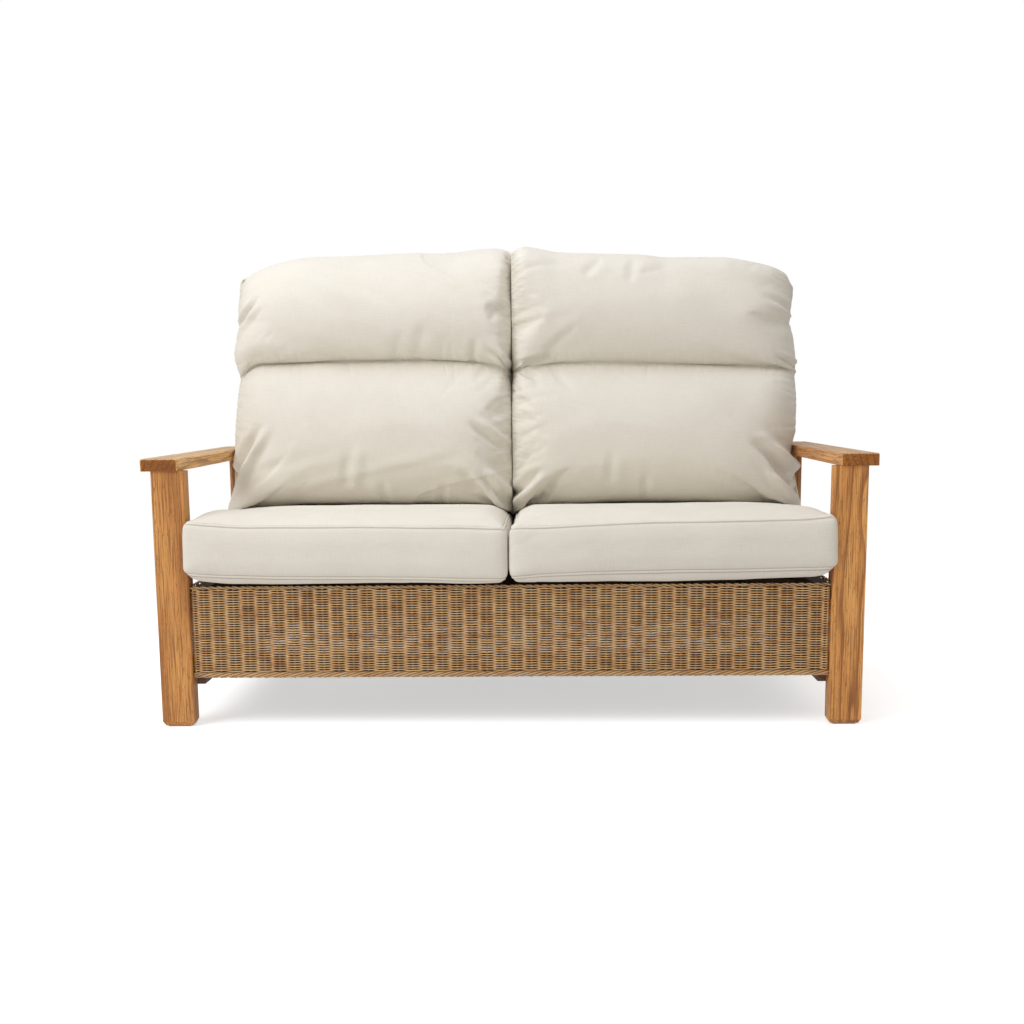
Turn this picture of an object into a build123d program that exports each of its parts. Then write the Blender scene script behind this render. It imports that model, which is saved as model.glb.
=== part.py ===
from build123d import *
import math
import os

os.makedirs("parts", exist_ok=True)

# Patio loveseat: a teak frame on four short posts, wicker panels round the base and in the back,
# a slatted seat deck and four loose cushions. Lengths are millimetres, and +X is to the right
# as one looks at the front. While the pieces are made, y runs back from the front faces of the
# front posts. At the end all of them move together, so that the origin lies on the floor below
# the middle of the bounding box.

# Posts, arms and glides
inner_width = 1368
post_width = 70
front_post_depth = 40
rear_post_depth = 45
leg_gap = 660
arm_underside = 554
arm_width = 80
arm_thickness = 26
arm_overhang = 21
arm_front_lip = 4
arm_rear_lip = 15
arm_corner_radius = 6
arm_edge_radius = 4
post_edge_radius = 2
foot_chamfer_side = 5
foot_chamfer_height = 9
glide_height = 3
glide_length = 48
glide_width = 24

# Rails of the base
rail_thickness = 23
upper_rail_bottom = 250
upper_rail_height = 50
lower_rail_bottom = 112
lower_rail_height = 40
side_rail_thickness = 36
side_rail_inset = 18
side_upper_bottom = 232
side_upper_height = 60
side_lower_bottom = 87
side_lower_height = 50
cross_rail_height = 60
rail_edge_radius = 2

# Wicker panels: a woven skin round upright stakes, with a thicker border along both long edges
weave_setback = 8
weave_thickness = 9
stake_diameter = 4
stake_pitch = 32
apron_bottom = 106
apron_height = 201
side_apron_bottom = 91
side_apron_height = 205
bottom_border_height = 13
top_border_height = 9
border_proud = 2

# Seat deck
slat_count = 10
slat_width = 96
slat_thickness = 13
slat_edge_radius = 2
slat_end_gap = 56
slat_front = 19
bearer_front = 330
bearer_depth = 35
block_leg = 60
block_height = 35
block_bottom = 255

# Back frame, whose front plane leans back from a line on the top of the deck
rake = 10.3
back_foot = 615
back_thickness = 30
back_height = 670
back_drop = 70
stile_width = 44
mullion_width = 44
back_top_rail_height = 70
back_bottom_rail_start = 25
back_bottom_rail_height = 50
back_edge_radius = 3
seat_back_rail_depth = 28
support_rail_drop = 74
support_rail_height = 65
support_rail_depth = 25

# Dowels, by their diameters, lengths, spacings and heights above the underside of their rail
dowel_diameter = 8
dowel_length = 40
arm_dowel_diameter = 10
arm_dowel_length = 36
arm_dowel_depth = 14
arm_dowel_spacing = 36
upper_dowel_rise = 12
upper_dowel_spacing = 28
lower_dowel_rise = 8
lower_dowel_spacing = 24
side_dowel_rise = 12
side_upper_dowel_spacing = 32
side_lower_dowel_spacing = 33
cross_dowel_rise = 12
cross_dowel_spacing = 24
support_dowel_rise = 20
back_dowel_spacing = 24
pin_clearance = 0.05

# Bolts through the two rails behind the stiles, and deck screws
upper_bolt_rise = 32
lower_bolt_rise = 24
bolt_diameter = 8
bolt_bite = 20
bolt_head_diameter = 16
bolt_head_height = 5
washer_diameter = 22
washer_thickness = 2
screw_diameter = 4
screw_length = 32
screw_head_diameter = 8
screw_head_depth = 3

# Seat cushions, whose heights are those of the seams and of the crown above the floor
rest_gap = 0.4
cushion_centre_gap = 2
seat_side_gap = 3
seat_rear_gap = 3
seat_front_overhang = 14
seat_boxing_bulge = 6
seat_bottom_roll = 12
seat_bottom_seam = 324
seat_top_seam = 444
seat_crown_y = 203
seat_crown = 457
seat_shoulder_y = 420
seat_shoulder = 448
seat_rear_top = 430
seat_end_drop = 8
seat_end_draw = 9
seat_draw_power = 12
seat_drop_power = 6

# Back cushions: an upper roll and a lower chamber in front of a flat back, by the depth of the
# turning points of the section in the middle of the cushion and the rise from each to the next
back_side_gap = 5
back_lower_front = 440
lower_belly_y = 412
lower_belly = 600
channel_y = 500
channel_rise = 190
upper_belly_y = 462
upper_belly_rise = 135
brow_y = 590
brow_rise = 135
top_y = 668
top_rise = 6
rear_top_drop = 66
seam_y = 540
seam_height = 580
back_end_thickness_share = 0.38
back_thickness_power = 6
outer_top_drop_share = 0.17
outer_drop_power = 7
inner_top_drop_share = 0.03
inner_drop_power = 10

# Cross sections in each half of a cushion, which crowd towards its ends
half_stations = 5

# Places worked out from the sizes above
post_inner = inner_width / 2
post_outer = post_inner + post_width
arm_outer = post_outer + arm_overhang
arm_inner = arm_outer - arm_width
rear_post_front = front_post_depth + leg_gap
rear_post_back = rear_post_front + rear_post_depth
side_inner = post_inner - side_rail_inset
side_outer = side_inner + side_rail_thickness
front_rail_front = weave_setback + weave_thickness
rear_rail_back = rear_post_back - front_rail_front
upper_rail_top = upper_rail_bottom + upper_rail_height
cross_rail_bottom = upper_rail_top - cross_rail_height
deck_top = upper_rail_top + slat_thickness
stile_inner = side_inner - stile_width
deck_half_width = side_inner - slat_end_gap
support_rail_bottom = arm_underside - support_rail_drop
channel = lower_belly + channel_rise
upper_belly = channel + upper_belly_rise
brow = upper_belly + brow_rise
top = brow + top_rise
rear_top = top - rear_top_drop
rake_slope = math.tan(math.radians(rake))
back_depth = back_thickness / math.cos(math.radians(rake))
back_rail_rear = back_foot + back_depth - slat_thickness * rake_slope + seat_back_rail_depth
back_place = Pos(0, back_foot, deck_top) * Rot(-rake, 0, 0)
opening_bottom = back_bottom_rail_start + back_bottom_rail_height
opening_top = back_height - back_top_rail_height

nodes = {}


# Box between three pairs of limits
def block(x_limits, y_limits, z_limits):
    limits = (x_limits, y_limits, z_limits)
    middle = [(low + high) / 2 for low, high in limits]
    size = [high - low for low, high in limits]
    return Pos(*middle) * Box(*size)


# Box with its four edges along one axis rounded
def board(x_limits, y_limits, z_limits, grain, radius):
    plain = block(x_limits, y_limits, z_limits)
    return fillet(plain.edges().filter_by(grain), radius)


# Depth of the plane of the stiles' rear faces at a height
def stile_rear(height):
    return back_foot + back_depth + (height - deck_top) * rake_slope


# Round pin about a point, along one axis
def pin(centre, axis, length, diameter):
    turns = {"x": Rot(0, 90, 0), "y": Rot(90, 0, 0), "z": Rot(0, 0, 0)}
    return Pos(*centre) * turns[axis] * Cylinder(diameter / 2, length)


# Bore for each dowel, a little wider than the dowel
def bored(solid, dowels):
    for centre, axis, length, diameter in dowels:
        solid = solid - pin(centre, axis, length, diameter + 2 * pin_clearance)
    return solid


# Pair of dowels, one above the other, at each end of a rail that runs across the seat
def cross_dowels(end_x, y, bottom, rise, spacing):
    heights = (bottom + rise, bottom + rise + spacing)
    return [((side * end_x, y, z), "x", dowel_length, dowel_diameter)
            for side in (-1, 1) for z in heights]


# Same pair at both ends of the side rail on the right
def side_dowels(bottom, spacing):
    x = (post_inner + side_outer) / 2
    heights = (bottom + side_dowel_rise, bottom + side_dowel_rise + spacing)
    return [((x, y, z), "y", dowel_length, dowel_diameter)
            for y in (front_post_depth, rear_post_front) for z in heights]


def mirrored(dowels):
    return [((-x, y, z), axis, length, diameter) for (x, y, z), axis, length, diameter in dowels]


# Every dowel of the base
arm_dowel_z = arm_underside + arm_dowel_depth - arm_dowel_length / 2
post_centre = (post_inner + post_outer) / 2
post_rows = {"front": front_post_depth / 2, "rear": (rear_post_front + rear_post_back) / 2}
arm_dowels = [((side * post_centre + offset, y, arm_dowel_z), "z", arm_dowel_length, arm_dowel_diameter)
              for side in (-1, 1)
              for y in post_rows.values()
              for offset in (-arm_dowel_spacing / 2, arm_dowel_spacing / 2)]
front_rail_y = front_rail_front + rail_thickness / 2
rear_rail_y = rear_rail_back - rail_thickness / 2
upper_pair = (upper_rail_bottom, upper_dowel_rise, upper_dowel_spacing)
lower_pair = (lower_rail_bottom, lower_dowel_rise, lower_dowel_spacing)
front_upper_dowels = cross_dowels(post_inner, front_rail_y, *upper_pair)
front_lower_dowels = cross_dowels(post_inner, front_rail_y, *lower_pair)
rear_upper_dowels = cross_dowels(post_inner, rear_rail_y, *upper_pair)
rear_lower_dowels = cross_dowels(post_inner, rear_rail_y, *lower_pair)
side_upper_dowels = side_dowels(side_upper_bottom, side_upper_dowel_spacing)
side_lower_dowels = side_dowels(side_lower_bottom, side_lower_dowel_spacing)
bearer_y = bearer_front + bearer_depth / 2
cross_pair = (cross_rail_bottom, cross_dowel_rise, cross_dowel_spacing)
support_pair = (support_rail_bottom, support_dowel_rise, cross_dowel_spacing)
bearer_dowels = cross_dowels(side_inner, bearer_y, *cross_pair)
back_rail_y = back_rail_rear - seat_back_rail_depth / 2
back_rail_dowels = cross_dowels(side_inner, back_rail_y, *cross_pair)
support_rail_back = rear_post_front + support_rail_depth
support_rail_y = rear_post_front + support_rail_depth / 2
support_dowels = cross_dowels(post_inner, support_rail_y, *support_pair)
side_rail_dowels = side_upper_dowels + side_lower_dowels
base_dowels = (front_upper_dowels + front_lower_dowels + rear_upper_dowels + rear_lower_dowels
               + side_rail_dowels + mirrored(side_rail_dowels)
               + bearer_dowels + back_rail_dowels + support_dowels)

# Dowels of the back frame, in its own upright position
back_mid = back_thickness / 2
top_rail_middle = opening_top + back_top_rail_height / 2
bottom_rail_middle = back_bottom_rail_start + back_bottom_rail_height / 2
stile_dowels = [((side * stile_inner, back_mid, level + offset), "x", dowel_length, dowel_diameter)
                for side in (-1, 1)
                for level in (bottom_rail_middle, top_rail_middle)
                for offset in (-back_dowel_spacing / 2, back_dowel_spacing / 2)]
mullion_dowels = [((offset, back_mid, level), "z", dowel_length, dowel_diameter)
                  for level in (opening_bottom, opening_top)
                  for offset in (-back_dowel_spacing / 2, back_dowel_spacing / 2)]
back_frame_dowels = stile_dowels + mullion_dowels

# Bolts: each goes forward from the rear face of a rail into a stile
bolt_x = (stile_inner + side_inner) / 2
bolt_seats = [(side * bolt_x, rear, z)
              for side in (-1, 1)
              for rear, z in ((support_rail_back, support_rail_bottom + upper_bolt_rise),
                              (back_rail_rear, cross_rail_bottom + lower_bolt_rise))]


def bolt_shank(seat, clearance):
    x, rear, z = seat
    tip = stile_rear(z) - bolt_bite
    middle = (x, (rear + washer_thickness + tip) / 2, z)
    return pin(middle, "y", rear + washer_thickness - tip, bolt_diameter + 2 * clearance)


# Post with a chamfered foot, centred on its own axis
def post(depth):
    shaft_bottom = glide_height + foot_chamfer_height
    sole_sides = [side - 2 * foot_chamfer_side for side in (post_width, depth)]
    sole = Pos(0, 0, glide_height) * RectangleRounded(*sole_sides, post_edge_radius)
    ankle = Pos(0, 0, shaft_bottom) * RectangleRounded(post_width, depth, post_edge_radius)
    return loft([sole, ankle]) + extrude(ankle, arm_underside - shaft_bottom)


post_depths = {"front": front_post_depth, "rear": rear_post_depth}
for side, hand in ((-1, "left"), (1, "right")):
    for row, y in post_rows.items():
        near = [dowel for dowel in base_dowels + arm_dowels
                if abs(dowel[0][0] - side * post_centre) < post_width and abs(dowel[0][1] - y) < post_width]
        nodes[f"{row}_post_{hand}"] = bored(Pos(side * post_centre, y, 0) * post(post_depths[row]), near)
        glide = Box(glide_length, glide_width, glide_height)
        nodes[f"foot_glide_{row}_{hand}"] = Pos(side * post_centre, y, glide_height / 2) * glide

# Arm boards with rounded corners and eased upper edges
for side, hand in ((-1, "left"), (1, "right")):
    x_limits = sorted((side * arm_inner, side * arm_outer))
    arm = board(x_limits, (-arm_front_lip, rear_post_back + arm_rear_lip),
                (arm_underside, arm_underside + arm_thickness), Axis.Z, arm_corner_radius)
    arm = fillet(arm.faces().sort_by(Axis.Z)[-1].edges(), arm_edge_radius)
    nodes[f"arm_{hand}"] = bored(arm, [dowel for dowel in arm_dowels if dowel[0][0] * side > 0])

# Rails between the posts, across the front and the rear
front_rail_limits = (front_rail_front, front_rail_front + rail_thickness)
rear_rail_limits = (rear_rail_back - rail_thickness, rear_rail_back)
span = (-post_inner, post_inner)
upper_limits = (upper_rail_bottom, upper_rail_top)
lower_limits = (lower_rail_bottom, lower_rail_bottom + lower_rail_height)
for name, y_limits, z_limits, dowels in (
        ("front_upper_rail", front_rail_limits, upper_limits, front_upper_dowels),
        ("front_lower_rail", front_rail_limits, lower_limits, front_lower_dowels),
        ("rear_upper_rail", rear_rail_limits, upper_limits, rear_upper_dowels),
        ("rear_lower_rail", rear_rail_limits, lower_limits, rear_lower_dowels)):
    nodes[name] = bored(board(span, y_limits, z_limits, Axis.X, rail_edge_radius), dowels)

# Side rails, which stand a little inside the posts
for name, bottom, height, dowels in (
        ("side_upper_rail", side_upper_bottom, side_upper_height,
         side_upper_dowels + bearer_dowels + back_rail_dowels),
        ("side_lower_rail", side_lower_bottom, side_lower_height, side_lower_dowels)):
    rail = board((side_inner, side_outer), (front_post_depth, rear_post_front),
                 (bottom, bottom + height), Axis.Y, rail_edge_radius)
    rail = bored(rail, [dowel for dowel in dowels if dowel[0][0] > 0])
    nodes[f"{name}_right"] = rail
    nodes[f"{name}_left"] = mirror(rail, about=Plane.YZ)

# Bearer across the middle of the deck
cross_limits = (cross_rail_bottom, upper_rail_top)
bearer = board((-side_inner, side_inner), (bearer_front, bearer_front + bearer_depth),
               cross_limits, Axis.X, rail_edge_radius)
nodes["mid_bearer"] = bored(bearer, bearer_dowels)


# Rail whose front face leans back with the stiles that are bolted to it
def raked_rail(half_length, bottom, height, rear):
    corners = [(stile_rear(bottom), bottom), (rear, bottom),
               (rear, bottom + height), (stile_rear(bottom + height), bottom + height)]
    profile = make_face(Polyline(*[(-half_length, y, z) for y, z in corners], close=True))
    return extrude(profile, 2 * half_length, dir=(1, 0, 0))


seat_back_rail = raked_rail(side_inner, cross_rail_bottom, cross_rail_height, back_rail_rear)
support_rail = raked_rail(post_inner, support_rail_bottom, support_rail_height, support_rail_back)
nodes["seat_back_rail"] = bored(seat_back_rail, back_rail_dowels)
nodes["back_support_rail"] = bored(support_rail, support_dowels)
for seat in bolt_seats:
    rail_name = "back_support_rail" if seat[1] == support_rail_back else "seat_back_rail"
    nodes[rail_name] = nodes[rail_name] - bolt_shank(seat, pin_clearance)

# Glued corner blocks, two behind the front rail and two ahead of the rear rail
front_rail_back = front_rail_front + rail_thickness
rear_rail_front = rear_rail_back - rail_thickness
for row, wall, reach in (("front", front_rail_back, block_leg),
                         ("rear", rear_rail_front, back_rail_rear - rear_rail_front)):
    outline = Polyline((side_inner, wall, block_bottom), (side_inner - block_leg, wall, block_bottom),
                       (side_inner, wall + reach, block_bottom), close=True)
    corner = extrude(make_face(outline), block_height, dir=(0, 0, 1))
    nodes[f"corner_block_{row}_right"] = corner
    nodes[f"corner_block_{row}_left"] = mirror(corner, about=Plane.YZ)

# Deck slats, each held by a countersunk screw into the front rail, the bearer and the rear rail
slat_pitch = (2 * deck_half_width - slat_width) / (slat_count - 1)
slat_centres = [-deck_half_width + slat_width / 2 + slat_pitch * index for index in range(slat_count)]
screw_rows = {"front_upper_rail": front_rail_y, "mid_bearer": bearer_y, "seat_back_rail": back_rail_y}


def screw(x, y, clearance):
    shank = Pos(x, y, deck_top - screw_length / 2) * Cylinder(screw_diameter / 2 + clearance, screw_length)
    head = Pos(x, y, deck_top - screw_head_depth / 2) * Cone(
        screw_diameter / 2 + clearance, screw_head_diameter / 2 + clearance, screw_head_depth)
    return shank + head


screws = []
for index, x in enumerate(slat_centres):
    slat = board((x - slat_width / 2, x + slat_width / 2), (slat_front, back_rail_rear),
                 (upper_rail_top, deck_top), Axis.Y, slat_edge_radius)
    for rail_name, y in screw_rows.items():
        slat = slat - screw(x, y, pin_clearance)
        nodes[rail_name] = nodes[rail_name] - screw(x, y, pin_clearance)
        screws.append(screw(x, y, 0))
    nodes[f"seat_slat_{index + 1:02d}"] = slat
nodes["slat_screws"] = Compound(screws)


# Evenly spaced stakes along a panel that is centred on x of zero, with their middles at a depth
def stakes(width, bottom, height, depth):
    count = int(width // stake_pitch)
    places = [stake_pitch * (index - (count - 1) / 2) for index in range(count)]
    return [pin((x, depth, bottom + height / 2), "z", height, stake_diameter) for x in places]


# Skin of a base panel: its outer face is at y of zero and faces forward, and its borders stand proud
def apron_skin(width, bottom, height):
    foot_top = bottom + bottom_border_height
    head_bottom = bottom + height - top_border_height
    outline = [(weave_thickness, bottom), (-border_proud, bottom), (-border_proud, foot_top), (0, foot_top),
               (0, head_bottom), (-border_proud, head_bottom),
               (-border_proud, bottom + height), (weave_thickness, bottom + height)]
    profile = make_face(Polyline(*[(-width / 2, y, z) for y, z in outline], close=True))
    return extrude(profile, width, dir=(1, 0, 0)) - stakes(width, bottom, height, weave_thickness / 2)


front_place = Pos(0, weave_setback, 0)
rear_place = Pos(0, rear_post_back - weave_setback, 0) * Rot(0, 0, 180)
middle_y = (front_post_depth + rear_post_front) / 2
right_place = Pos(side_outer + weave_thickness, middle_y, 0) * Rot(0, 0, 90)
left_place = Pos(-side_outer - weave_thickness, middle_y, 0) * Rot(0, 0, -90)
for name, place, width, bottom, height in (
        ("front", front_place, inner_width, apron_bottom, apron_height),
        ("rear", rear_place, inner_width, apron_bottom, apron_height),
        ("right", right_place, leg_gap, side_apron_bottom, side_apron_height),
        ("left", left_place, leg_gap, side_apron_bottom, side_apron_height)):
    nodes[f"wicker_{name}"] = place * apron_skin(width, bottom, height)
    nodes[f"stakes_{name}"] = place * Compound(stakes(width, bottom, height, weave_thickness / 2))

# Back frame, made upright with its front plane at y of zero and then leaned back
back_y_limits = (0, back_thickness)
inner_span = (-stile_inner, stile_inner)
for side, hand in ((-1, "left"), (1, "right")):
    x_limits = sorted((side * stile_inner, side * side_inner))
    stile = board(x_limits, back_y_limits, (-back_drop, back_height), Axis.Z, back_edge_radius)
    stile = back_place * bored(stile, [dowel for dowel in stile_dowels if dowel[0][0] * side > 0])
    for seat in bolt_seats:
        stile = stile - bolt_shank(seat, pin_clearance)
    nodes[f"back_stile_{hand}"] = stile
top_rail = board(inner_span, back_y_limits, (opening_top, back_height), Axis.X, back_edge_radius)
bottom_rail = board(inner_span, back_y_limits, (back_bottom_rail_start, opening_bottom),
                    Axis.X, back_edge_radius)
mullion = board((-mullion_width / 2, mullion_width / 2), back_y_limits,
                (opening_bottom, opening_top), Axis.Z, back_edge_radius)
nodes["back_top_rail"] = back_place * bored(top_rail, back_frame_dowels)
nodes["back_bottom_rail"] = back_place * bored(bottom_rail, back_frame_dowels)
nodes["back_mullion"] = back_place * bored(mullion, mullion_dowels)

# Woven skins in the two halves of the back
panel_width = stile_inner - mullion_width / 2
panel_height = opening_top - opening_bottom
back_stakes = []
for side, hand in ((-1, "left"), (1, "right")):
    panel_place = back_place * Pos(side * (stile_inner + mullion_width / 2) / 2, back_mid, opening_bottom)
    panel_stakes = stakes(panel_width, 0, panel_height, 0)
    skin = block((-panel_width / 2, panel_width / 2), (-weave_thickness / 2, weave_thickness / 2),
                 (0, panel_height))
    nodes[f"wicker_back_{hand}"] = panel_place * (skin - panel_stakes)
    back_stakes += [panel_place * stake for stake in panel_stakes]
nodes["stakes_back"] = Compound(back_stakes)

# Dowels, bolts and washers, each kind as one group of separate pieces
upright_pins = [pin(*dowel) for dowel in base_dowels]
leaned_pins = [back_place * pin(*dowel) for dowel in back_frame_dowels]
nodes["arm_dowels"] = Compound([pin(*dowel) for dowel in arm_dowels])
nodes["rail_dowels"] = Compound(upright_pins + leaned_pins)
bolts = []
washers = []
for seat in bolt_seats:
    x, rear, z = seat
    head_y = rear + washer_thickness + bolt_head_height / 2
    bolts.append(bolt_shank(seat, 0) + pin((x, head_y, z), "y", bolt_head_height, bolt_head_diameter))
    ring = pin((x, rear + washer_thickness / 2, z), "y", washer_thickness, washer_diameter)
    washers.append(ring - bolt_shank(seat, pin_clearance))
nodes["back_bolts"] = Compound(bolts)
nodes["back_washers"] = Compound(washers)


# Closed outline in one plane across the seat, from straight runs and arcs through a middle point
def section_wire(x, start, runs):
    edges = []
    here = start
    for run in runs:
        points = [(x, *point) for point in (here, *run)]
        edges.append(Edge.make_line(*points) if len(points) == 2 else Edge.make_three_point_arc(*points))
        here = run[-1]
    return Wire(edges)


# Seat cushion: flat below, boxed, crowned, and sloping to the rear under the back cushion
seat_bottom = deck_top + rest_gap
seat_rear = back_foot - seat_rear_gap
seat_half_width = (post_inner - seat_side_gap - cushion_centre_gap / 2) / 2
seat_centre = cushion_centre_gap / 2 + seat_half_width


def seat_section(share):
    draw = seat_end_draw * abs(share) ** seat_draw_power
    drop = seat_end_drop * abs(share) ** seat_drop_power
    front = -seat_front_overhang + draw
    rear = seat_rear - draw
    boxing_middle = (seat_bottom_seam + seat_top_seam) / 2
    roll_slack = (seat_bottom_seam - seat_bottom) / 3
    return section_wire(share * seat_half_width, (front + seat_bottom_roll, seat_bottom), [
        [(front + seat_bottom_roll / 3, seat_bottom + roll_slack), (front, seat_bottom_seam)],
        [(front - seat_boxing_bulge, boxing_middle), (front, seat_top_seam)],
        [(seat_crown_y, seat_crown - drop), (seat_shoulder_y, seat_shoulder - drop)],
        [(rear, seat_rear_top - drop)],
        [(rear, seat_bottom_seam)],
        [(rear - seat_bottom_roll / 3, seat_bottom + roll_slack), (rear - seat_bottom_roll, seat_bottom)],
        [(front + seat_bottom_roll, seat_bottom)],
    ])


# Back cushion: it stands on the seat cushion's slope and leans on the back frame
back_half_width = (arm_inner - back_side_gap - cushion_centre_gap / 2) / 2
back_centre = cushion_centre_gap / 2 + back_half_width
seat_slope = (seat_rear_top - seat_shoulder) / (seat_rear - seat_shoulder_y)


def seat_top_at(y):
    return seat_shoulder + (y - seat_shoulder_y) * seat_slope + rest_gap


def back_plane_at(z):
    return back_foot - rest_gap + (z - deck_top) * rake_slope


def back_section(share):
    thickness = 1 - (1 - back_end_thickness_share) * abs(share) ** back_thickness_power
    outer_drop = outer_top_drop_share * abs(share) ** outer_drop_power
    inner_drop = inner_top_drop_share * abs(share) ** inner_drop_power
    drop = outer_drop if share < 0 else inner_drop

    # Towards the side seams each point moves to the plane of the seams and the top comes down
    def squeezed(y, z):
        seam = seam_y + (z - seam_height) * rake_slope
        height = z - drop * (z - seam_height) if z > seam_height else z
        return (seam + (y - seam) * thickness + (height - z) * rake_slope, height)

    rear_bottom = squeezed(back_plane_at(seat_top_at(back_foot)), seat_top_at(back_foot))
    rear_bottom = (rear_bottom[0], seat_top_at(rear_bottom[0]))
    front_bottom = squeezed(back_lower_front, seat_top_at(back_lower_front))
    front_bottom = (front_bottom[0], seat_top_at(front_bottom[0]))
    return section_wire(share * back_half_width, front_bottom, [
        [squeezed(lower_belly_y, lower_belly), squeezed(channel_y, channel)],
        [squeezed(upper_belly_y, upper_belly), squeezed(brow_y, brow)],
        [squeezed(top_y, top), squeezed(back_plane_at(rear_top), rear_top)],
        [rear_bottom],
        [front_bottom],
    ])


steps = range(-half_stations, half_stations + 1)
stations = [math.sin(math.pi / 2 * step / half_stations) for step in steps]
seat_cushion = Solid.make_loft([seat_section(share) for share in stations])
nodes["seat_cushion_right"] = Pos(seat_centre, 0, 0) * seat_cushion
nodes["seat_cushion_left"] = Pos(-seat_centre, 0, 0) * seat_cushion

# The back cushion is pressed flat where it leans on the back frame
back_cushion = Solid.make_loft([back_section(share) for share in stations])
far = (-inner_width, inner_width)
pressed = back_place * block(far, (-rest_gap, inner_width), far)
nodes["back_cushion_left"] = Pos(-back_centre, 0, 0) * (back_cushion - pressed)
nodes["back_cushion_right"] = mirror(nodes["back_cushion_left"], about=Plane.YZ)

# Move the whole part so that its origin lies below the middle of its bounding box, and write it
whole = Compound([solid for node in nodes.values() for solid in node.solids()]).bounding_box()
to_origin = Pos(0, -(whole.min.Y + whole.max.Y) / 2, 0)
print("pieces", len(nodes), "size", whole.size, "shift", to_origin.position)
for name, node in nodes.items():
    export_step(to_origin * node, f"parts/{name}.step")
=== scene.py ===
import math

import bpy
import numpy as np
from mathutils import Matrix, Vector
from mathutils.kdtree import KDTree


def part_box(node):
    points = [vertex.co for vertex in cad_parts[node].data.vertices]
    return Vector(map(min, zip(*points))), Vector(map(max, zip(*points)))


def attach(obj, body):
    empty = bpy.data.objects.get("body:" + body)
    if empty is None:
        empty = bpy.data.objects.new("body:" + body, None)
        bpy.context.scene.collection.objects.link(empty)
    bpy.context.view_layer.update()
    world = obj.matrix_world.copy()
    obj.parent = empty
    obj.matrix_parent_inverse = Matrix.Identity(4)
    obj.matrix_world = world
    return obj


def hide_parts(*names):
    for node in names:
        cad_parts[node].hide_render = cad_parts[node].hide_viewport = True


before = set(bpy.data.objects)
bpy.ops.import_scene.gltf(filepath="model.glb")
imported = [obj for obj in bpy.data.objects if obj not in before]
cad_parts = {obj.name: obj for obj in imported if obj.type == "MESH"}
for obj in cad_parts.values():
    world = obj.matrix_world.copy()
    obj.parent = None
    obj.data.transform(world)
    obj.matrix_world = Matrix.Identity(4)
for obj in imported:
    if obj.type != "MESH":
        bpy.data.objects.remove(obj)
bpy.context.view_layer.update()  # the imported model: bodies, nodes, joints and record
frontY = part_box("front_post_left")[0].y  # front faces of the front posts
print("frame loaded:", len(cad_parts), "CAD nodes")


# Node trees. A Wire is a socket that takes part in sums, and each sum adds its Math node

class Wire:
    def __init__(self, tree, socket):
        self.tree = tree
        self.socket = socket

    def out(self, name):  # another output of the same node
        return Wire(self.tree, self.socket.node.outputs[name])

    def __add__(self, other):
        return self.tree.maths("ADD", self, other)

    def __sub__(self, other):
        return self.tree.maths("SUBTRACT", self, other)

    def __rsub__(self, other):
        return self.tree.maths("SUBTRACT", other, self)

    def __mul__(self, other):
        return self.tree.maths("MULTIPLY", self, other)

    def __truediv__(self, other):
        return self.tree.maths("DIVIDE", self, other)

    def __rtruediv__(self, other):
        return self.tree.maths("DIVIDE", other, self)

    def __pow__(self, other):
        return self.tree.maths("POWER", self, other)

    __radd__ = __add__
    __rmul__ = __mul__


class NodeTree:
    def __init__(self, tree):
        self.tree = tree

    def add(self, kind, settings=None, inputs=None, output=0):
        node = self.tree.nodes.new(kind)
        for name, value in (settings or {}).items():
            if name == "stops":
                stops = node.color_ramp.elements
                while len(stops) < len(value):
                    stops.new(0.5)
                for stop, (place, colour) in zip(stops, value):
                    stop.position = place
                    stop.color = (*colour, 1)
            else:
                setattr(node, name, value)
        for name, value in (inputs or {}).items():
            for part in value if isinstance(value, list) else [value]:
                if isinstance(part, Wire):
                    self.tree.links.new(part.socket, node.inputs[name])
                else:
                    node.inputs[name].default_value = part
        return Wire(self, node.outputs[output])

    def maths(self, operation, *values):
        return self.add("ShaderNodeMath", {"operation": operation}, dict(enumerate(values)))

    def vectorMaths(self, operation, *values):
        output = 1 if operation == "DOT_PRODUCT" else 0
        return self.add("ShaderNodeVectorMath", {"operation": operation}, dict(enumerate(values)), output)

    def between(self, value, low, high, start=0.0, end=1.0):  # smooth step from low to high
        return self.add("ShaderNodeMapRange", {"interpolation_type": "SMOOTHSTEP"},
                        {0: value, 1: low, 2: high, 3: start, 4: end})

    def noise(self, place, scale, detail=2.0, roughness=0.5, output=0):
        return self.add("ShaderNodeTexNoise", {},
                        {"Vector": place, "Scale": scale, "Detail": detail, "Roughness": roughness}, output)

    def apart(self, vector):  # x, y and z
        first = self.add("ShaderNodeSeparateXYZ", {}, {0: vector})
        return first, first.out("Y"), first.out("Z")

    def together(self, x, y, z):
        return self.add("ShaderNodeCombineXYZ", {}, {0: x, 1: y, 2: z})

    def blend(self, factor, first, second, mode="MIX"):  # two colours
        return self.add("ShaderNodeMix", {"data_type": "RGBA", "blend_type": mode},
                        {0: factor, 6: first, 7: second}, 2)

    def seenRays(self):  # the camera's own rays, and what metal and glass show of them
        path = self.add("ShaderNodeLightPath", {}, {}, "Is Camera Ray")
        mirrored = self.maths("MAXIMUM", path.out("Is Glossy Ray"), path.out("Is Transmission Ray"))
        return self.maths("MAXIMUM", path, mirrored)


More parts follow.
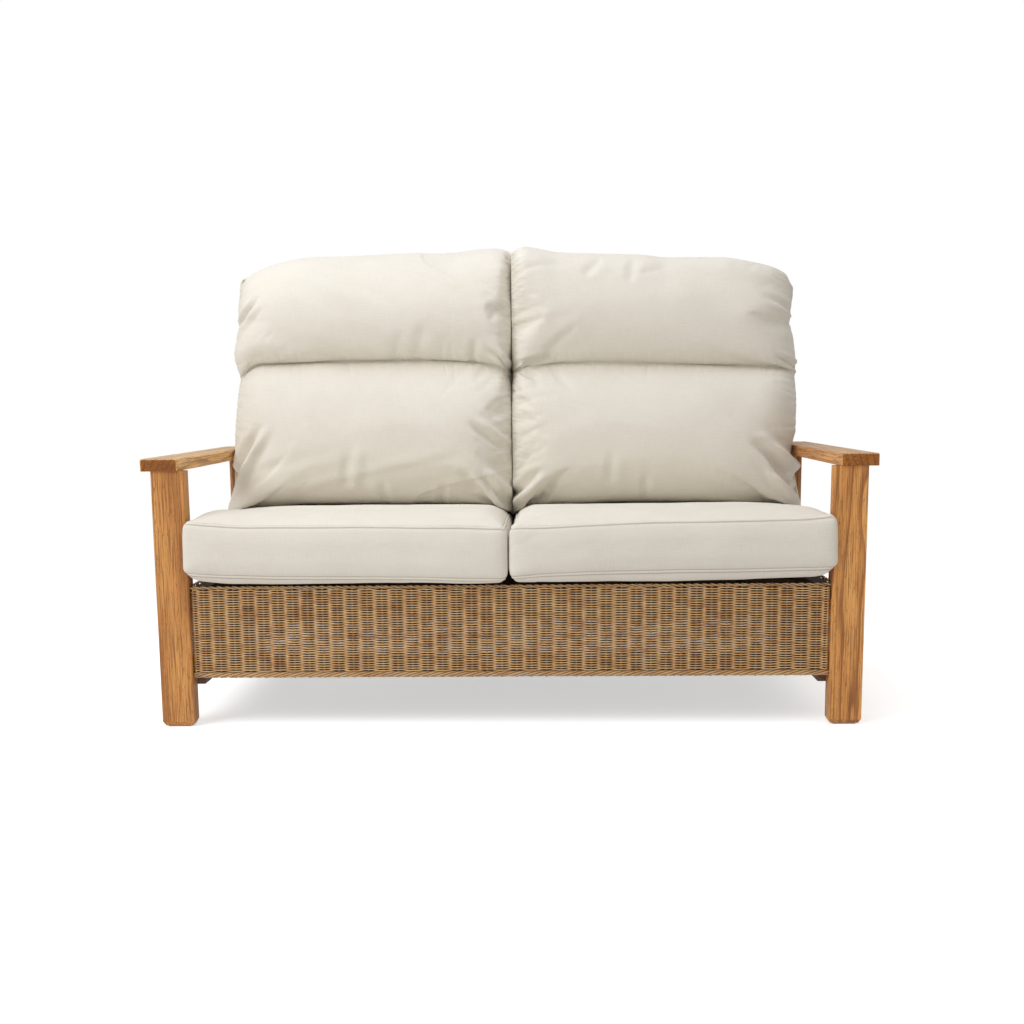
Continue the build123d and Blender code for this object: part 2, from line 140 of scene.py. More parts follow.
class Finish(NodeTree):  # one material
    def __init__(self, name):
        self.material = bpy.data.materials.new(name)
        self.material.use_nodes = True
        super().__init__(self.material.node_tree)
        self.tree.nodes.clear()

    def coords(self, kind="Object"):
        return self.add("ShaderNodeTexCoord", {}, {}, kind)

    def alongGrain(self, grain):  # the three coordinates, with the grain along the first
        turned = self.add("ShaderNodeMapping", {}, {"Vector": self.coords(), "Rotation": grainTurns[grain]})
        return self.apart(turned)

    def kept(self, name):  # a number that the mesh carries
        return self.add("ShaderNodeAttribute", {"attribute_name": name}, {}, "Fac")

    def tinted(self, colour, tint, share=1.0):
        return self.blend(share, colour, (*tint, 1), "MULTIPLY")

    def ramp(self, value, stops):
        return self.add("ShaderNodeValToRGB", {"stops": stops}, {0: value})

    def bump(self, height, strength, distance, **rest):
        return self.add("ShaderNodeBump", {},
                        {"Height": height, "Strength": strength, "Distance": distance, **rest})

    def surface(self, **inputs):  # the last nodes; sockets are named with _ for a space
        named = {name.replace("_", " "): value for name, value in inputs.items()}
        shader = self.add("ShaderNodeBsdfPrincipled", {}, named)
        self.close(shader)
        return self.material

    def close(self, shader):
        node = self.tree.nodes.new("ShaderNodeOutputMaterial")
        self.tree.links.new(shader.socket, node.inputs[0])


class Recipe(NodeTree):  # one geometry tree with named sizes
    def __init__(self, name, sizes, based=False):
        super().__init__(bpy.data.node_groups.new(name, "GeometryNodeTree"))
        if based:
            self.tree.interface.new_socket("Base", in_out="INPUT", socket_type="NodeSocketGeometry")
        self.tree.interface.new_socket("Geometry", in_out="OUTPUT", socket_type="NodeSocketGeometry")
        kinds = {float: "NodeSocketFloat", int: "NodeSocketInt", tuple: "NodeSocketVector",
                 type(None): "NodeSocketMaterial"}
        for label, value in sizes.items():
            socket = self.tree.interface.new_socket(label, in_out="INPUT", socket_type=kinds[type(value)])
            if value is not None:
                socket.default_value = value
        self.entry = self.tree.nodes.new("NodeGroupInput")

    def size(self, label):
        return Wire(self, self.entry.outputs[label])

    def store(self, geometry, name, value, domain="POINT"):  # one number, for the material
        return self.add("GeometryNodeStoreNamedAttribute", {"data_type": "FLOAT", "domain": domain},
                        {"Geometry": geometry, "Name": name, "Value": value})

    def toned(self, strands, seed):  # each strand's own tone, kept as the strands become real
        tone = self.add("ShaderNodeTexWhiteNoise", {"noise_dimensions": "1D"}, {"W": seed})
        strands = self.store(strands, "strandTone", tone, "INSTANCE")
        return self.add("GeometryNodeRealizeInstances", {}, {0: strands})

    def straight(self, reach, count):  # an even line along X, as far to either side
        line = self.add("GeometryNodeCurvePrimitiveLine", {}, {
            "Start": self.together(reach * -1.0, 0.0, 0.0), "End": self.together(reach, 0.0, 0.0)})
        return self.add("GeometryNodeResampleCurve", {}, {"Curve": line, "Count": count})

    def tube(self, curve, sides, radius, capped=False):
        section = self.add("GeometryNodeCurvePrimitiveCircle", {}, {"Resolution": sides, "Radius": 1.0})
        return self.add("GeometryNodeCurveToMesh", {}, {
            "Curve": curve, "Profile Curve": section, "Scale": radius, "Fill Caps": capped})

    def moved(self, geometry, place, turn=(0.0, 0.0, 0.0)):
        return self.add("GeometryNodeTransform", {},
                        {"Geometry": geometry, "Translation": place, "Rotation": turn})

    def finishTree(self, geometry):  # smooth faces, real geometry, its material
        real = self.add("GeometryNodeRealizeInstances", {}, {0: geometry})
        smooth = self.add("GeometryNodeSetShadeSmooth", {}, {0: real})
        dressed = self.add("GeometryNodeSetMaterial", {},
                           {"Geometry": smooth, "Material": self.size("Material")})
        node = self.tree.nodes.new("NodeGroupOutput")
        self.tree.links.new(dressed.socket, node.inputs[0])

    def make(self, name, values, base=None):  # runs the tree and keeps its result as a plain mesh
        holder = bpy.data.objects.new(name, base or bpy.data.meshes.new(name))
        bpy.context.scene.collection.objects.link(holder)
        modifier = holder.modifiers.new("recipe", "NODES")
        modifier.node_group = self.tree
        for item in self.tree.interface.items_tree:
            if item.in_out == "INPUT" and item.name in values:
                modifier[item.identifier] = values[item.name]
        return plainMesh(holder)


def plainMesh(holder):  # a live object's own result, with its modifiers gone
    depsgraph = bpy.context.evaluated_depsgraph_get()
    mesh = bpy.data.meshes.new_from_object(holder.evaluated_get(depsgraph), preserve_all_data_layers=True,
                                           depsgraph=depsgraph)
    holder.modifiers.clear()
    holder.data = mesh
    mesh.name = holder.name
    return holder


# Teak: growth rings about a heart far off the board, streaks and pores along the grain

teakLook = {
    "stops": [(0.12, (0.20, 0.075, 0.022)), (0.52, (0.47, 0.215, 0.072)), (0.86, (0.66, 0.36, 0.145))],
    "dark": (0.20, 0.075, 0.022), "endTint": (0.60, 0.47, 0.27), "roughness": 0.47, "uneven": 0.12,
    "gloss": 0.45,
    # Noises: stretch along the grain and across it, detail, roughness
    "drift": (1.6, 9.0, 2.0, 0.55), "ripple": (14.0, 60.0, 2.0, 0.5), "streaks": (5.0, 250.0, 4.0, 0.62),
    "fine": (65.0, 520.0, 2.0, 0.5), "veins": (9.0, 430.0, 2.0, 0.6), "broad": (2.2, 22.0, 2.0, 0.5),
    # Masks: where each begins and is full
    "lateEdge": (0.55, 0.93), "earlyEdge": (0.94, 0.995), "poreEdge": (0.60, 0.68), "veinEdge": (0.48, 0.62),
    "endEdge": (0.75, 0.92), "topReflectionEdge": (0.80, 0.95),
    "heartSway": (6, 3), "rippleDepth": 0.0012, "veinDrift": 3.0, "streakShare": 0.62, "broadShare": 0.62,
    "darker": 0.02, "poreShade": 0.60, "poreTone": 0.8, "veinShade": 0.78,
    "heightShares": (0.6, 0.4, 0.25), "bump": (0.35, 0.0006),
}
lean = math.radians(10.3)
grainTurns = {  # turns the grain to the X axis
    "x": (0, 0, 0), "y": (0, 0, -math.pi / 2), "z": (0, math.pi / 2, 0), "lean": (lean, math.pi / 2, 0),
}
grainLines = {"x": (1, 0, 0), "y": (0, 1, 0), "z": (0, 0, 1), "lean": (0, math.sin(lean), math.cos(lean))}


def teak(name, grain, heart=(0.03, 0.09), rings=90.0, sway=0.012, tint=(1.0, 1.0, 1.0), lines=0.5,
         ends=teakLook["endTint"], topReflection=(1.0, 1.0, 1.0)):
    finish, look = Finish(name), teakLook
    along, across, deep = finish.alongGrain(grain)

    def drawnOut(noise, aside=0.0):  # noise drawn out along the grain
        length, width, detail, roughness = look[noise]
        place = finish.together(along * length, across * width + aside, deep * width)
        return finish.noise(place, 1.0, detail, roughness)

    drift, ripple = drawnOut("drift") - 0.5, drawnOut("ripple") - 0.5
    offX = across - heart[0] + drift * (sway * look["heartSway"][0])
    offY = deep - heart[1] + drift * (sway * look["heartSway"][1])
    radius = finish.maths("SQRT", offX * offX + offY * offY) + drift * sway + ripple * look["rippleDepth"]
    turnsOut = finish.maths("FRACT", radius * rings)
    earlyWood = finish.between(turnsOut, *look["earlyEdge"])
    lateWood = finish.between(turnsOut, *look["lateEdge"]) * (1.0 - earlyWood)
    streaks, fine, broad = drawnOut("streaks"), drawnOut("fine"), drawnOut("broad")
    pores = finish.between(fine, *look["poreEdge"])
    veins = finish.between(drawnOut("veins", drift * look["veinDrift"]), *look["veinEdge"])
    level = streaks * look["streakShare"] + broad * look["broadShare"] - lateWood * lines - look["darker"]
    wood = finish.ramp(level, look["stops"])
    wood = finish.blend(pores * look["poreShade"], wood, (*[c * look["poreTone"] for c in look["dark"]], 1))
    wood = finish.blend(veins * look["veinShade"], wood, (*look["dark"], 1))
    wood = finish.tinted(wood, tint)
    normal = finish.coords("Normal")
    upward = finish.between(finish.apart(normal)[2], *look["topReflectionEdge"])
    wood = finish.tinted(wood, topReflection, upward)  # upward faces are tinted paler and bluer: a painted reflection of the bright sky
    facing = finish.maths("ABSOLUTE", finish.vectorMaths("DOT_PRODUCT", normal, grainLines[grain]))
    endGrain = finish.between(facing, *look["endEdge"])
    wood = finish.blend(endGrain, wood, finish.tinted(wood, ends))
    streakHeight, fineHeight, ringHeight = look["heightShares"]
    height = streaks * streakHeight + fine * fineHeight - lateWood * ringHeight
    return finish.surface(Base_Color=wood, Specular_IOR_Level=look["gloss"],
                          Roughness=look["roughness"] + streaks * look["uneven"] + endGrain * look["uneven"],
                          Normal=finish.bump(height, *look["bump"]))


# Wicker strands, by a tone that each strand carries, with blotches that run over several strands

wickerLook = {
    "stops": [(0.14, (0.160, 0.066, 0.028)), (0.34, (0.470, 0.240, 0.096)), (0.54, (0.840, 0.495, 0.215)),
              (0.74, (0.930, 0.640, 0.310)), (0.93, (0.960, 0.800, 0.520))],
    # red and grey are strands' own colours; deep is the colour of the painted shade
    "red": (0.520, 0.200, 0.110), "grey": (0.700, 0.590, 0.470), "deep": (0.020, 0.008, 0.004),
    # Noises: stretch along a strand and across it, shift, detail
    "lengths": (17.0, 260.0, 0.0, 1.0), "blotch": (9.0, 40.0, 7.0, 2.0), "fibres": (70.0, 2600.0, 3.0, 2.0),
    "redOnes": (15.0, 230.0, 21.0, 1.0), "greyOnes": (19.0, 250.0, 43.0, 1.0), "deepStretch": 6,
    "level": 0.58, "strandShare": 0.16, "lengthShare": 0.60, "blotchShare": 0.12, "fibreShare": 0.42,
    "redEdge": (0.58, 0.66), "redShare": 0.35, "greyEdge": (0.60, 0.66), "greyShare": 0.40,
    "recessEdge": (0.47, 0.88), "shade": 0.97, "sideEdge": (0.50, 0.98), "edgeShade": 0.66,
    "warmth": (1.0, 0.98, 0.96), "roughness": 0.42, "uneven": 0.2, "bump": (0.4, 0.0004), "gloss": 0.45,
}


def wicker(name, grain, tone=1.0):
    finish, look = Finish(name), wickerLook
    along, across, deep = finish.alongGrain(grain)

    def streaked(noise):  # noise drawn out along the strands
        length, width, shift, detail = look[noise]
        place = finish.together(along * length + shift, across * width, deep * (width / look["deepStretch"]))
        return finish.noise(place, 1.0, detail)

    strand, lengths = finish.kept("strandTone"), streaked("lengths")
    blotch, fibres = streaked("blotch"), streaked("fibres")
    level = (look["level"] + (strand - 0.5) * look["strandShare"] + (lengths - 0.5) * look["lengthShare"]
             + (blotch - 0.5) * look["blotchShare"] + (fibres - 0.5) * look["fibreShare"])
    cane = finish.ramp(level, look["stops"])
    for colour in ("red", "grey"):
        some = finish.between(streaked(colour + "Ones"), *look[colour + "Edge"])
        cane = finish.blend(some * look[colour + "Share"], cane, (*look[colour], 1))
    depth = finish.between(finish.kept("recess"), *look["recessEdge"])  # painted shade: strands darken where they pass deep behind the stakes
    # painted shade: the tops and bottoms of the strands are darkened, as if in the shade between rows
    upright = finish.apart(finish.coords("Normal"))[2]
    sideShade = finish.between(finish.maths("ABSOLUTE", upright), *look["sideEdge"]) * look["edgeShade"]
    paintedShade = finish.maths("MAXIMUM", depth * look["shade"], sideShade)
    cane = finish.blend(paintedShade, cane, (*look["deep"], 1))
    cane = finish.tinted(cane, [tone * part for part in look["warmth"]])
    return finish.surface(Base_Color=cane, Roughness=look["roughness"] + fibres * look["uneven"],
                          Normal=finish.bump(fibres, *look["bump"]), Specular_IOR_Level=look["gloss"])


# Cushion cloth: a plain weave with slubs, on the UV map that each cushion carries in metres

clothLook = {
    "thread": (0.800, 0.765, 0.680), "shadow": (0.700, 0.655, 0.565), "stops": (0.28, 0.62),
    "threadsPerMetre": 900.0, "slubsPerMetre": 30.0, "upShift": 3.0, "mottle": (9.0, 3.0, 0.6),
    "wornShares": (0.45, 0.35, 0.30), "weaveHeight": 0.5, "slubHeight": 0.8, "bump": (0.22, 0.0005),
    "creaseFrom": (0.0016, 0.0032), "creaseTo": (0.0036, 0.0062), "creaseShade": 0.55,
    "seamShadeColour": (0.300, 0.250, 0.190), "roughness": 0.88, "sheen": 0.12, "gloss": 0.2,
    "gatherAcross": (15.0, 118.0, 22.0, 5.0), "gatherUp": (105.0, 17.0, 9.0), "gatherHeight": 0.0045,
}


def cloth(name, tone=1.0):
    finish, look = Finish(name), clothLook
    u, v, _ = finish.apart(finish.add("ShaderNodeUVMap", {"uv_map": "clothUV"}))
    threads, slubs = look["threadsPerMetre"], look["slubsPerMetre"]
    turn = threads * math.pi
    weave = finish.maths("SINE", u * turn) * finish.maths("SINE", v * turn)
    slubAcross = finish.noise(finish.together(u * slubs, v * threads, 0.0), 1.0, 2.0)
    slubUp = finish.noise(finish.together(u * threads, v * slubs, look["upShift"]), 1.0, 2.0)
    mottle = finish.noise(finish.coords(), *look["mottle"])
    worn = sum(part * share for part, share in zip((slubAcross, slubUp, mottle), look["wornShares"]))
    shadow, thread = ([c * tone for c in look[colour]] for colour in ("shadow", "thread"))
    colour = finish.ramp(worn, list(zip(look["stops"], (shadow, thread))))
    # painted shade: a darker line in the cloth beside each seam, where shade falls next to the piping
    away = finish.kept("fromSeam")
    seamShade = finish.between(away, *look["creaseFrom"]) * (1.0 - finish.between(away, *look["creaseTo"]))
    colour = finish.blend(seamShade * look["creaseShade"], colour, (*look["seamShadeColour"], 1))
    acrossU, acrossV, slant, shift = look["gatherAcross"]
    across = finish.noise(finish.together(u * acrossU, v * acrossV + u * slant, shift), 1.0, 1.0)
    upU, upV, shift = look["gatherUp"]
    upward = finish.noise(finish.together(u * upU, v * upV, shift), 1.0, 1.0)
    drawn = across * finish.kept("gatherAcross") + upward * finish.kept("gatherUp")
    gathers = finish.bump(drawn, 1.0, look["gatherHeight"])
    height = weave * look["weaveHeight"] + (slubAcross + slubUp) * look["slubHeight"]
    return finish.surface(Base_Color=colour, Roughness=look["roughness"], Sheen_Weight=look["sheen"],
                          Normal=finish.bump(height, *look["bump"], Normal=gathers),
                          Specular_IOR_Level=look["gloss"])


# Plain metals and plastics, with a little unevenness

plainLook = {"detail": (3.0, 0.6), "stops": (0.3, 0.7), "uneven": 0.2, "bump": (0.1, 0.0004)}


def plain(name, colour, roughness, metallic=0.0, grain=180.0, spread=0.12, gloss=0.5):
    finish, look = Finish(name), plainLook
    worn = finish.noise(finish.coords(), grain, *look["detail"])
    low, high = ([min(1.0, c * (1 + way * spread)) for c in colour] for way in (-1, 1))
    return finish.surface(Base_Color=finish.ramp(worn, list(zip(look["stops"], (low, high)))),
                          Roughness=roughness + (worn - 0.5) * look["uneven"], Metallic=metallic,
                          Normal=finish.bump(worn, *look["bump"]), Specular_IOR_Level=gloss)


teakPostLeft = teak("teakPostLeft", "z", (0.4, 0.72), 120.0, 0.004, (1.19, 1.10, 0.81), 0.20)
teakPostRight = teak("teakPostRight", "z", (0.30, 0.68), 42.0, 0.034, (1.40, 1.33, 1.02), 0.42)
teakUp = teak("teakUp", "z", rings=80.0)
teakAcross = teak("teakAcross", "x", rings=80.0)
# The left arm is tinted paler and bluer than the right: painted light for the light that falls on the left
# arm, which the right arm's shaded inner side lacks
teakArmLeft = teak("teakArmLeft", "y", (0.2, 0.35), 70.0, tint=(1.54, 1.80, 1.76), lines=0.25,
                   ends=(0.395, 0.240, 0.068), topReflection=(0.78, 0.88, 1.09))
teakArmRight = teak("teakArmRight", "y", (0.2, 0.35), 70.0, tint=(1.22, 1.22, 1.16), lines=0.30,
                    ends=(0.570, 0.415, 0.135), topReflection=(0.84, 1.01, 1.20))
teakLean = teak("teakLean", "lean", heart=(0.2, 0.1), rings=80.0)
caneTones = {"wicker": 1.0, "rim": 0.72, "dark": 0.62}
acrossCanes, deepCanes = ([wicker(cane + way, grain, tone) for cane, tone in caneTones.items()]
                          for way, grain in (("Across", "x"), ("Deep", "y")))
cushionCloth = cloth("cushionCloth")
pipingCloth = cloth("pipingCloth", 1.02)
stakeRod = plain("stakeRod", (0.300, 0.180, 0.090), 0.6)
# The hidden underframe is near black: a painted shade for the deep shade under the cushions
darkStain = plain("darkStain", (0.030, 0.016, 0.010), 0.8, grain=60.0, spread=0.3, gloss=0.1)
# The side lower rails are a dark reddish teak: a painted shade for wood lying in shadow under the woven base
reddishStain = plain("reddishStain", (0.150, 0.075, 0.055), 0.6, grain=90.0, spread=0.3)
stainless = plain("stainless", (0.55, 0.55, 0.54), 0.32, metallic=1.0, grain=400.0)
bronzed = plain("bronzed", (0.050, 0.036, 0.026), 0.6, grain=400.0, gloss=0.2)
dowelWood = plain("dowelWood", (0.60, 0.42, 0.22), 0.7, grain=300.0)
glideNylon = plain("glideNylon", (0.50, 0.51, 0.52), 0.5)
print("materials made")

# Materials of the CAD nodes
nodeFinishes = {
    "front_post_left": teakPostLeft, "front_post_right": teakPostRight,
    "arm_left": teakArmLeft, "arm_right": teakArmRight,
    "back_top_rail": teakAcross, "back_bottom_rail": teakAcross, "arm_dowels": dowelWood,
    "rail_dowels": dowelWood, "back_bolts": stainless, "back_washers": stainless, "slat_screws": bronzed,
    "mid_bearer": darkStain, "seat_back_rail": darkStain, "back_support_rail": teakAcross,
}
nodeStarts = (
    ("rear_post", teakUp), ("foot_glide", glideNylon), ("front_", darkStain), ("rear_", darkStain),
    ("side_upper", darkStain), ("side_lower", reddishStain), ("corner_block", darkStain),
    ("seat_slat", darkStain), ("stakes", stakeRod), ("back_", teakLean),
)
for name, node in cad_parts.items():
    finish = nodeFinishes.get(name) or next((f for start, f in nodeStarts if name.startswith(start)), None)
    if finish:
        for slot in node.material_slots:
            slot.material = finish

# Woven panels: each row goes in front of one stake and behind the next, and turns round a thin
# rod at the end of the panel into the next row

weaveLook = {
    "stakePitch": 0.032, "stakeRadius": 0.002, "strandRadius": 0.00130, "rowPitch": 0.00261, "widen": 0.95,
    "endGap": 0.0055, "backEndGap": 0.0035,  # the back panels' strands touch the stiles
    "jitter": 0.0005, "jitterUp": 2.6, "jitterScale": 70.0, "turnPoints": 6, "strandSides": 5, "rodSides": 8,
    "bend": 0.7, "facing": 3.0,  # how square a strand's waves are, and how sharply its shade changes sides
    "toneStep": 0.37,
}


def panelRecipe():
    recipe = Recipe("wovenPanel", {
        "Width": 1.0, "Height": 0.2, "Bottom": 0.1, "Rows": 70, "Steps": 200, "Stake Pitch": 0.032,
        "Last Stake": 0.4, "End Gap": 0.0045, "Wave": 0.0033, "Strand Radius": 0.0012, "Widen": 0.4,
        "Jitter": 0.0004, "Outward": -1.0, "Seed": 1.0, "Depth": 0.0045, "Turn": (0.0, 0.0, 0.0),
        "Place": (0.0, 0.0, 0.0), "Material": None})
    size = recipe.size
    reach = size("Width") / 2 - size("End Gap")
    rowPitch = size("Height") / size("Rows")
    line = recipe.straight(reach, size("Steps"))
    x, _, _ = recipe.apart(recipe.add("GeometryNodeInputPosition"))
    far = recipe.maths("ABSOLUTE", x)
    inner = recipe.maths("MINIMUM", far, size("Last Stake")) / size("Stake Pitch")
    outer = recipe.maths("MAXIMUM", far - size("Last Stake"), 0.0) / (reach - size("Last Stake"))
    swing = recipe.maths("SINE", (inner + outer) * math.pi)
    bent = recipe.maths("ABSOLUTE", swing) ** weaveLook["bend"] * recipe.maths("SIGN", swing)
    wave = bent * recipe.maths("SIGN", x) * size("Wave")
    bentLines = []
    for way in (-1.0, 1.0):  # a strand is wider where it passes behind a stake
        behind = recipe.maths("MAXIMUM", wave / size("Wave") * size("Outward") * -way, 0.0)
        wide = recipe.add("GeometryNodeSetCurveRadius", {},
                          {"Curve": line, "Radius": size("Strand Radius") * (1.0 + behind * size("Widen"))})
        bentLines.append(recipe.add("GeometryNodeSetPosition", {},
                                    {0: wide, "Offset": recipe.together(0.0, wave * way, 0.0)}))
    # Instances sort by link order, so each row picks one of the two at every other index
    both = recipe.add("GeometryNodeJoinGeometry", {}, {0: [
        recipe.add("GeometryNodeGeometryToInstance", {}, {0: bent}) for bent in bentLines]})
    index = recipe.add("GeometryNodeInputIndex")
    parity = recipe.maths("MODULO", index, 2.0)
    start = size("Bottom") + rowPitch / 2
    rows = recipe.add("GeometryNodeMeshLine", {}, {
        "Count": size("Rows"), "Start Location": recipe.together(0.0, 0.0, start),
        "Offset": recipe.together(0.0, 0.0, rowPitch)})
    rows = recipe.add("GeometryNodeInstanceOnPoints", {},
                      {"Points": rows, "Instance": both, "Pick Instance": True, "Instance Index": parity})

    # Half turns round the end rods, at every second pair of rows on each side
    turnLine = recipe.add("GeometryNodeCurvePrimitiveLine", {}, {"End": (0.0, 0.0, 1.0)})
    turnLine = recipe.add("GeometryNodeResampleCurve", {},
                          {"Curve": turnLine, "Count": weaveLook["turnPoints"]})
    share = recipe.add("GeometryNodeSplineParameter")
    endSwing = recipe.maths("SINE", (size("Last Stake") / size("Stake Pitch") + 1.0) * math.pi) * size("Wave")
    loops = []
    for hand, first in ((1.0, 0.0), (-1.0, 1.0)):
        halfTurn = recipe.together(recipe.maths("SINE", share * math.pi) * size("Wave") * hand,
                                   recipe.maths("COSINE", share * math.pi) * endSwing, share * rowPitch)
        loop = recipe.add("GeometryNodeSetPosition", {}, {0: turnLine, "Position": halfTurn})
        loop = recipe.add("GeometryNodeSetCurveRadius", {}, {"Curve": loop, "Radius": size("Strand Radius")})
        places = recipe.add("GeometryNodeMeshLine", {}, {
            "Count": recipe.maths("FLOOR", (size("Rows") - first) / 2),
            "Start Location": recipe.together(reach * hand, 0.0, start + rowPitch * first),
            "Offset": recipe.together(0.0, 0.0, rowPitch * 2)})
        loops.append(recipe.add("GeometryNodeInstanceOnPoints", {}, {"Points": places, "Instance": loop}))
    strands = recipe.add("GeometryNodeJoinGeometry", {}, {0: [rows, *loops]})
    strands = recipe.toned(strands, index * weaveLook["toneStep"] + size("Seed"))
    where = recipe.add("GeometryNodeInputPosition")
    loose = recipe.noise(where, weaveLook["jitterScale"], 1.0, 0.5, 1)
    loose = recipe.vectorMaths("SUBTRACT", loose, (0.5, 0.5, 0.5))
    most = recipe.together(0.0, size("Jitter"), size("Jitter") * weaveLook["jitterUp"])
    loose = recipe.vectorMaths("MULTIPLY", loose, most)
    strands = recipe.add("GeometryNodeSetPosition", {}, {0: strands, "Offset": loose})
    # Each point's depth behind the panel's face, by which the material paints shade on the strands that pass
    # behind the stakes
    depthNow = recipe.apart(recipe.add("GeometryNodeInputPosition"))[1] / size("Wave")
    strands = recipe.store(strands, "recess", depthNow)
    tubes = recipe.tube(strands, weaveLook["strandSides"], recipe.add("GeometryNodeInputRadius"))
    facing = recipe.apart(recipe.add("GeometryNodeInputNormal"))[1] * weaveLook["facing"]
    facing = recipe.maths("MAXIMUM", recipe.maths("MINIMUM", facing, 1.0), -1.0)  # a shade for either side
    middle = recipe.add("GeometryNodeInputNamedAttribute", {"data_type": "FLOAT"}, {"Name": "recess"})
    tubes = recipe.store(tubes, "recess", 0.5 - middle * facing * 0.5)
    rod = recipe.add("GeometryNodeMeshCylinder", {}, {
        "Vertices": weaveLook["rodSides"], "Radius": size("Wave") - size("Strand Radius"),
        "Depth": size("Height")})
    level = size("Bottom") + size("Height") / 2
    rods = [recipe.moved(rod, recipe.together(reach * hand, 0.0, level)) for hand in (1.0, -1.0)]
    panel = recipe.add("GeometryNodeJoinGeometry", {}, {0: [tubes, *rods]})
    panel = recipe.moved(panel, recipe.together(0.0, size("Depth"), 0.0))
    recipe.finishTree(recipe.moved(panel, size("Place"), size("Turn")))
    return recipe


# Twisted borders: a few strands laid round each other

borderLook = {
    "bottom": (0.0140, 5, -0.095), "top": (0.0075, 2, 0.034),  # height, strands and length of a turn
    "endGap": 0.001, "strandSides": 7, "stepsPerTurn": 14, "strandShare": 0.98, "toneStep": 0.61,
}


def ropeRecipe():
    recipe = Recipe("twistedBorder", {
        "Length": 1.0, "Core Radius": 0.003, "Strand Radius": 0.002, "Turn Length": 0.05, "Strands": 4,
        "Steps": 400, "Centre": (0.0, 0.0, 0.0), "Seed": 1.0, "Turn": (0.0, 0.0, 0.0),
        "Place": (0.0, 0.0, 0.0), "Material": None})
    size = recipe.size
    line = recipe.straight(size("Length") / 2, size("Steps"))
    x, _, _ = recipe.apart(recipe.add("GeometryNodeInputPosition"))
    angle = x / size("Turn Length") * (2 * math.pi)
    spiral = recipe.together(0.0, recipe.maths("COSINE", angle) * size("Core Radius"),
                             recipe.maths("SINE", angle) * size("Core Radius"))
    line = recipe.add("GeometryNodeSetPosition", {}, {0: line, "Offset": spiral})
    index = recipe.add("GeometryNodeInputIndex")
    points = recipe.add("GeometryNodeMeshLine", {}, {"Count": size("Strands"), "Offset": (0.0, 0.0, 0.0)})
    turned = recipe.together(index * (2 * math.pi) / size("Strands"), 0.0, 0.0)
    strands = recipe.add("GeometryNodeInstanceOnPoints", {},
                         {"Points": points, "Instance": line, "Rotation": turned})
    strands = recipe.toned(strands, index * borderLook["toneStep"] + size("Seed"))
    tubes = recipe.tube(strands, borderLook["strandSides"], size("Strand Radius"), True)
    # painted shade: the strands darken towards the grooves between them
    _, y, z = recipe.apart(recipe.add("GeometryNodeInputPosition"))
    outside = size("Core Radius") + size("Strand Radius")
    groove = size("Core Radius") * recipe.maths("COSINE", math.pi / size("Strands"))
    recess = (outside - recipe.maths("SQRT", y * y + z * z)) / (outside - groove)
    tubes = recipe.moved(recipe.store(tubes, "recess", recess), size("Centre"))
    recipe.finishTree(recipe.moved(tubes, size("Place"), size("Turn")))
    return recipe


wovenPanel = panelRecipe()
twistedBorder = ropeRecipe()


def weavePanel(name, width, bottom, height, turn, place, depth, finish, seed, waveSteps, replaced,
               outward=-1.0, endGap=weaveLook["endGap"]):
    look = weaveLook
    pitch = look["stakePitch"]
    lastStake = pitch * (int(width // pitch) - 1) / 2  # the CAD stakes stand at odd multiples of half a pitch
    values = {
        "Width": width, "Height": height, "Bottom": bottom, "Rows": int(height / look["rowPitch"] / 2) * 2,
        "Steps": int(2 * lastStake / pitch * waveSteps) + 2 * waveSteps + 1, "Stake Pitch": pitch,
        "Last Stake": lastStake, "End Gap": endGap, "Wave": look["stakeRadius"] + look["strandRadius"],
        "Strand Radius": look["strandRadius"], "Widen": look["widen"], "Jitter": look["jitter"],
        "Outward": outward, "Seed": seed, "Depth": depth, "Turn": turn, "Place": place, "Material": finish}
    panel = wovenPanel.make(name, values)
    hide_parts(replaced)
    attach(panel, "frame")
    return panel


def border(name, length, centre, radius, strands, turnLength, turn, place, finish, seed):
    # The strands' own radius follows from how many lie round the core
    share = math.sin(math.pi / strands)
    strandRadius = radius * share / (1 + share)
    values = {
        "Length": length, "Core Radius": radius - strandRadius,
        "Strand Radius": strandRadius * borderLook["strandShare"], "Turn Length": turnLength,
        "Strands": strands, "Steps": int(length / abs(turnLength) * borderLook["stepsPerTurn"]),
        "Centre": centre, "Seed": seed, "Turn": turn, "Place": place, "Material": finish}
    rope = twistedBorder.make(name, values)
    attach(rope, "frame")
    return rope


